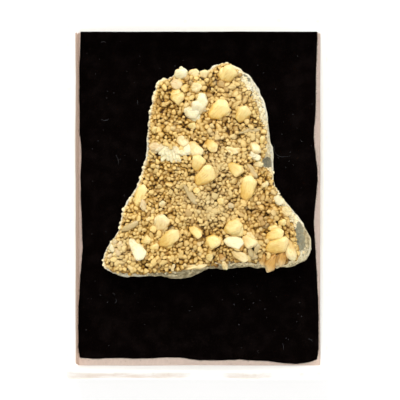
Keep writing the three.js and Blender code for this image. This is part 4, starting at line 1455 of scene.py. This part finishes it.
def edge_grains(look, rng):
    """A row of grains hangs over the carpet's edge, furthest on the front side."""
    rim = even_loop(CARPET_EDGE, 260)
    away = outward_of(rim)
    front = smoothstep(-rim[:, 1:], 12.0, 14.0) * smoothstep(rim[:, :1], -21.0, -17.0)
    size = (len(rim), 1)
    rim = rim + away * (rng.uniform(-0.55, -0.1, size) + front * rng.uniform(0, 0.55, size))
    rim += rng.normal(0, 0.12, rim.shape)
    width = look.grain / MM / 2 * rng.uniform(0.6, 1.0, len(rim))
    tips = carpet_height(rim) - rng.uniform(0, 0.45, len(rim)) - 0.5 * front[:, 0]
    return grain_shapes(rim, width, tips, 3, 137, np.arctan2(away[:, 1], away[:, 0]), paler=0.2)


def druse_grains(rng):
    """Druse on the flank, thickest by the carpet and none where the rock is bare."""
    places, tips = flank_places(rng, 3600)
    width = rng.uniform(0.12, 0.34, len(places))
    points, faces, layers = grain_shapes(places, width, tips + width * 0.6, 2, 149, paler=0.9)
    bright = np.repeat(rng.uniform(0.6, 1.2, len(places)), len(points) // len(places))
    return points, faces, layers | {"rim": bright}


class MakeCarpet(bpy.types.Operator):
    """Build the carpet of small crystals and the bed that they grow on"""

    bl_idname = "stilbite.make_carpet"
    bl_label = "Crystal carpet"

    def execute(self, context):
        look = context.scene.stilbite_carpet
        rng = np.random.default_rng(113)
        places, radii, tips = main_grains(look, rng)
        parts = {"carpet_bed": bed_shape()}
        for half, kept in (("lower", places[:, 1] < 2), ("upper", places[:, 1] >= 2)):
            parts[f"carpet_grains_{half}"] = grain_shapes(places[kept], radii[kept], tips[kept], 3, 132)
        parts["carpet_small_grains"] = small_grains(look, rng, places, radii)
        parts["carpet_edge_grains"] = edge_grains(look, rng)
        parts["flank_druse"] = druse_grains(rng)
        material = grain_material("carpet_stilbite", look)
        for name, (points, faces, layers) in parts.items():
            smooth = name == "carpet_bed"
            make_piece(name, points, faces, material, "stilbite_crust", patched(points, layers), smooth)
        return {"FINISHED"}


# ---------------- lint


def tube(path, radius, sides=5):
    """A closed tube along paths (paths, steps, 3): rings square to the path, drawn in to a point
    at both ends."""
    along = np.gradient(path, axis=1)
    along /= np.linalg.norm(along, axis=2)[..., None]
    side = np.cross(along, (0, 0, 1.0))
    side /= np.maximum(np.linalg.norm(side, axis=2)[..., None], 1e-6)
    up = np.cross(side, along)
    angle = np.linspace(0, math.tau, sides, endpoint=False)
    steps = path.shape[1]
    thin = np.sin(np.linspace(0.06, np.pi - 0.06, steps)) ** 0.5 * radius
    spoke = side[:, :, None] * np.cos(angle)[:, None] + up[:, :, None] * np.sin(angle)[:, None]
    rings = path[:, :, None] + spoke * thin[None, :, None, None]
    flat = rings.reshape(len(path), -1, 3)
    return copies(np.concatenate([flat, path[:, :1], path[:, -1:]], 1), skin_faces(steps, sides))


# The long hair, seen from above, and the height where it starts, in mm.
HAIR = [(17.6, 12.6), (17.5, 10.2), (18.9, 9.3), (21.6, 10.0)]
HAIR_TOP = 9.3


def lint_shape(look):
    """Loose fibres lie on the velvet in shallow arcs, and specks of dust are short tubes. Both
    keep clear of the rock. One longer hair curls down from the rock's right side: a cubic Bezier
    curve over four points."""
    rng = np.random.default_rng(139)
    keep = lambda spots: spots[~inside(spots, PLAN) & (edge_distance(spots, PLAN) > 1.2)]
    spots = keep(np.stack([rng.uniform(-27, 27, 400), rng.uniform(-37, 38, 400)], 1))
    t = np.linspace(-1, 1, 13)

    def arcs(middle, reach, bend):
        way = toward(rng.uniform(0, math.tau, len(middle)))
        turned = np.stack([-way[:, 1], way[:, 0]], 1)
        flat = middle[:, None] + way[:, None] * t[None, :, None] * reach[:, None, None]
        flat = flat + turned[:, None] * ((t**2 - 0.4)[None, :, None] * bend[:, None, None])
        lift = PAD_TOP + 0.12 + 0.1 * np.sin(t * 2.3)[None] * np.ones((len(middle), 1))
        return np.dstack([flat, lift])

    count = look.fibre_count
    reach = rng.uniform(0.4, 1.1, count)
    fibres = arcs(spots[:count], reach, reach * rng.uniform(-0.6, 0.6, count))
    s = (t + 1)[:, None] / 2
    weights = [(1, 3, 3, 1)[k] * s**k * (1 - s) ** (3 - k) for k in range(4)]
    bend = sum(np.array(at) * weight for at, weight in zip(HAIR, weights))
    hair = np.column_stack([bend, HAIR_TOP - (HAIR_TOP - PAD_TOP - 0.15) * smoothstep(s, 0, 0.55)])
    thickness = look.thickness / MM / 2
    specks = spots[count : count + look.speck_count]
    tiny = rng.uniform(0.05, 0.16, len(specks))
    dust = arcs(specks, tiny, tiny * 0.3)
    return joined([tube(np.concatenate([fibres, hair[None]]), thickness), tube(dust, thickness * 1.5)])


def lint_material(look):
    """Pale fibres, a little brighter and duller along their length."""
    graph = Finish("lint_fibre", Specular_IOR_Level=0.3)
    shade = graph.span(graph.noise(graph.place, 0.5), 0.3, 0.7)
    base = graph.mix(shade, look.lint_color, (0.20, 0.21, 0.24))
    return graph.done(base, graph.noise(graph.place, 3.0), 0.6, 0.85)


class MakeLint(bpy.types.Operator):
    """Build the loose fibres and dust that lie on the velvet"""

    bl_idname = "stilbite.make_lint"
    bl_label = "Lint"

    def execute(self, context):
        look = context.scene.stilbite_lint
        make_piece("velvet_lint", *lint_shape(look), lint_material(look), "velvet_pad")
        return {"FINISHED"}


# ---------------- stage


# Places in metres: the key light, the four low lights that are for the tray's lining and card
# alone, and the point of the specimen that the camera looks down on.
KEY_PLACE = (-0.08, 0.40, 0.52)
LOW_REACH, LOW_HEIGHT, LOW_SIZE = 0.36, 0.07, 0.1
VIEW_MIDDLE = (0.23 * MM, -0.47 * MM)


class MakeStage(bpy.types.Operator):
    """Build the plain floor, the soft lights and the camera"""

    bl_idname = "stilbite.make_stage"
    bl_label = "Stage"

    def execute(self, context):
        look, scene = context.scene.stilbite_stage, context.scene
        floor = self.floor(look)
        world = bpy.data.worlds.new("soft_room")
        scene.world = world
        world.use_nodes = True
        room = Graph(world.node_tree)
        upward = room.add("SeparateXYZ", {0: room.add("TexCoord").outputs["Generated"]}).outputs[2]
        background = world.node_tree.nodes["Background"]
        room.feed(background.inputs["Color"], (1.0, 0.995, 0.985))
        room.feed(background.inputs["Strength"], room.span(upward, 0.0, 0.8, look.horizon, look.ambient))

        names = ("lined_walls", "key_lit", "ground")
        lined, unlined, ground = (bpy.data.collections.new(name) for name in names)
        for piece in [piece for piece in scene.objects if piece.type == "MESH"]:
            (lined if piece.name in ("tray_lining", "tray_card_box") else unlined).objects.link(piece)
        ground.objects.link(floor)
        key = self.light("key_light", KEY_PLACE, look.key, look.key_size)
        key.light_linking.receiver_collection = unlined
        for name, x, y in (("left", -1, 0), ("right", 1, 0), ("front", 0, -1), ("back", 0, 1)):
            place = (LOW_REACH * x, LOW_REACH * y, LOW_HEIGHT)
            lamp = self.light(f"lining_light_{name}", place, look.lining, LOW_SIZE)
            lamp.light_linking.receiver_collection = lined
            lamp.light_linking.blocker_collection = ground

        lens = bpy.data.cameras.new("camera")
        lens.lens = look.focal_length
        lens.sensor_width = 36.0
        lens.clip_start, lens.clip_end = 0.01, 10.0
        camera = bpy.data.objects.new("camera", lens)
        camera.location = (*VIEW_MIDDLE, look.camera_height)
        scene.collection.objects.link(camera)
        scene.camera = camera
        scene.view_settings.view_transform = "Standard"
        return {"FINISHED"}

    @staticmethod
    def floor(look):
        """A square floor in a plain finish with a faint light of its own."""
        half = look.floor_size / 2
        corners = [(-half, -half, 0), (half, -half, 0), (half, half, 0), (-half, half, 0)]
        mesh = bpy.data.meshes.new("floor")
        mesh.from_pydata(corners, [], [(0, 1, 2, 3)])
        floor = bpy.data.objects.new("floor", mesh)
        bpy.context.scene.collection.objects.link(floor)
        plain = {"Base_Color": look.floor_color, "Emission_Color": (1, 1, 1), "Emission_Strength": look.glow}
        mesh.materials.append(Finish("floor_sweep", Roughness=0.9, Specular_IOR_Level=0.1, **plain).material)
        return floor

    @staticmethod
    def light(name, place, power, size):
        """A square area light at a place, aimed at the specimen."""
        lamp = bpy.data.lights.new(name, "AREA")
        lamp.energy, lamp.size = power, size
        made = bpy.data.objects.new(name, lamp)
        made.location = place
        made.rotation_euler = (-Vector(place)).to_track_quat("-Z", "Y").to_euler()
        bpy.context.scene.collection.objects.link(made)
        return made


# ---------------- panel and registration

PARTS = {
    "stilbite_tray": (TrayLook, MakeTray),
    "stilbite_velvet": (VelvetLook, MakeVelvet),
    "stilbite_rock": (RockLook, MakeRock),
    "stilbite_carpet": (CarpetLook, MakeCarpet),
    "stilbite_crystals": (CrystalLook, MakeCrystals),
    "stilbite_lint": (LintLook, MakeLint),
    "stilbite_stage": (StageLook, MakeStage),
}


class SpecimenPanel(bpy.types.Panel):
    """Lists every piece with its sizes and colours"""

    bl_idname = "VIEW3D_PT_stilbite"
    bl_label = "Stilbite specimen"
    bl_space_type = "VIEW_3D"
    bl_region_type = "UI"
    bl_category = "Stilbite"

    def draw(self, context):
        for title, (look, operator) in PARTS.items():
            box = self.layout.box()
            box.operator(operator.bl_idname)
            for name in look.__annotations__:
                box.prop(getattr(context.scene, title), name)


CLASSES = (*itertools.chain(*PARTS.values()), SpecimenPanel)


def register():
    for one in CLASSES:
        bpy.utils.register_class(one)
    for title, (look, _) in PARTS.items():
        setattr(bpy.types.Scene, title, PointerProperty(type=look))


def unregister():
    for title in PARTS:
        delattr(bpy.types.Scene, title)
    for one in reversed(CLASSES):
        bpy.utils.unregister_class(one)


def main():
    """Builds every piece in order."""
    register()
    bpy.ops.stilbite.make_tray()
    bpy.ops.stilbite.make_velvet()
    bpy.ops.stilbite.make_rock()
    bpy.ops.stilbite.make_carpet()
    bpy.ops.stilbite.make_crystals()
    bpy.ops.stilbite.make_lint()
    bpy.ops.stilbite.make_stage()


if __name__ == "__main__":
    main()
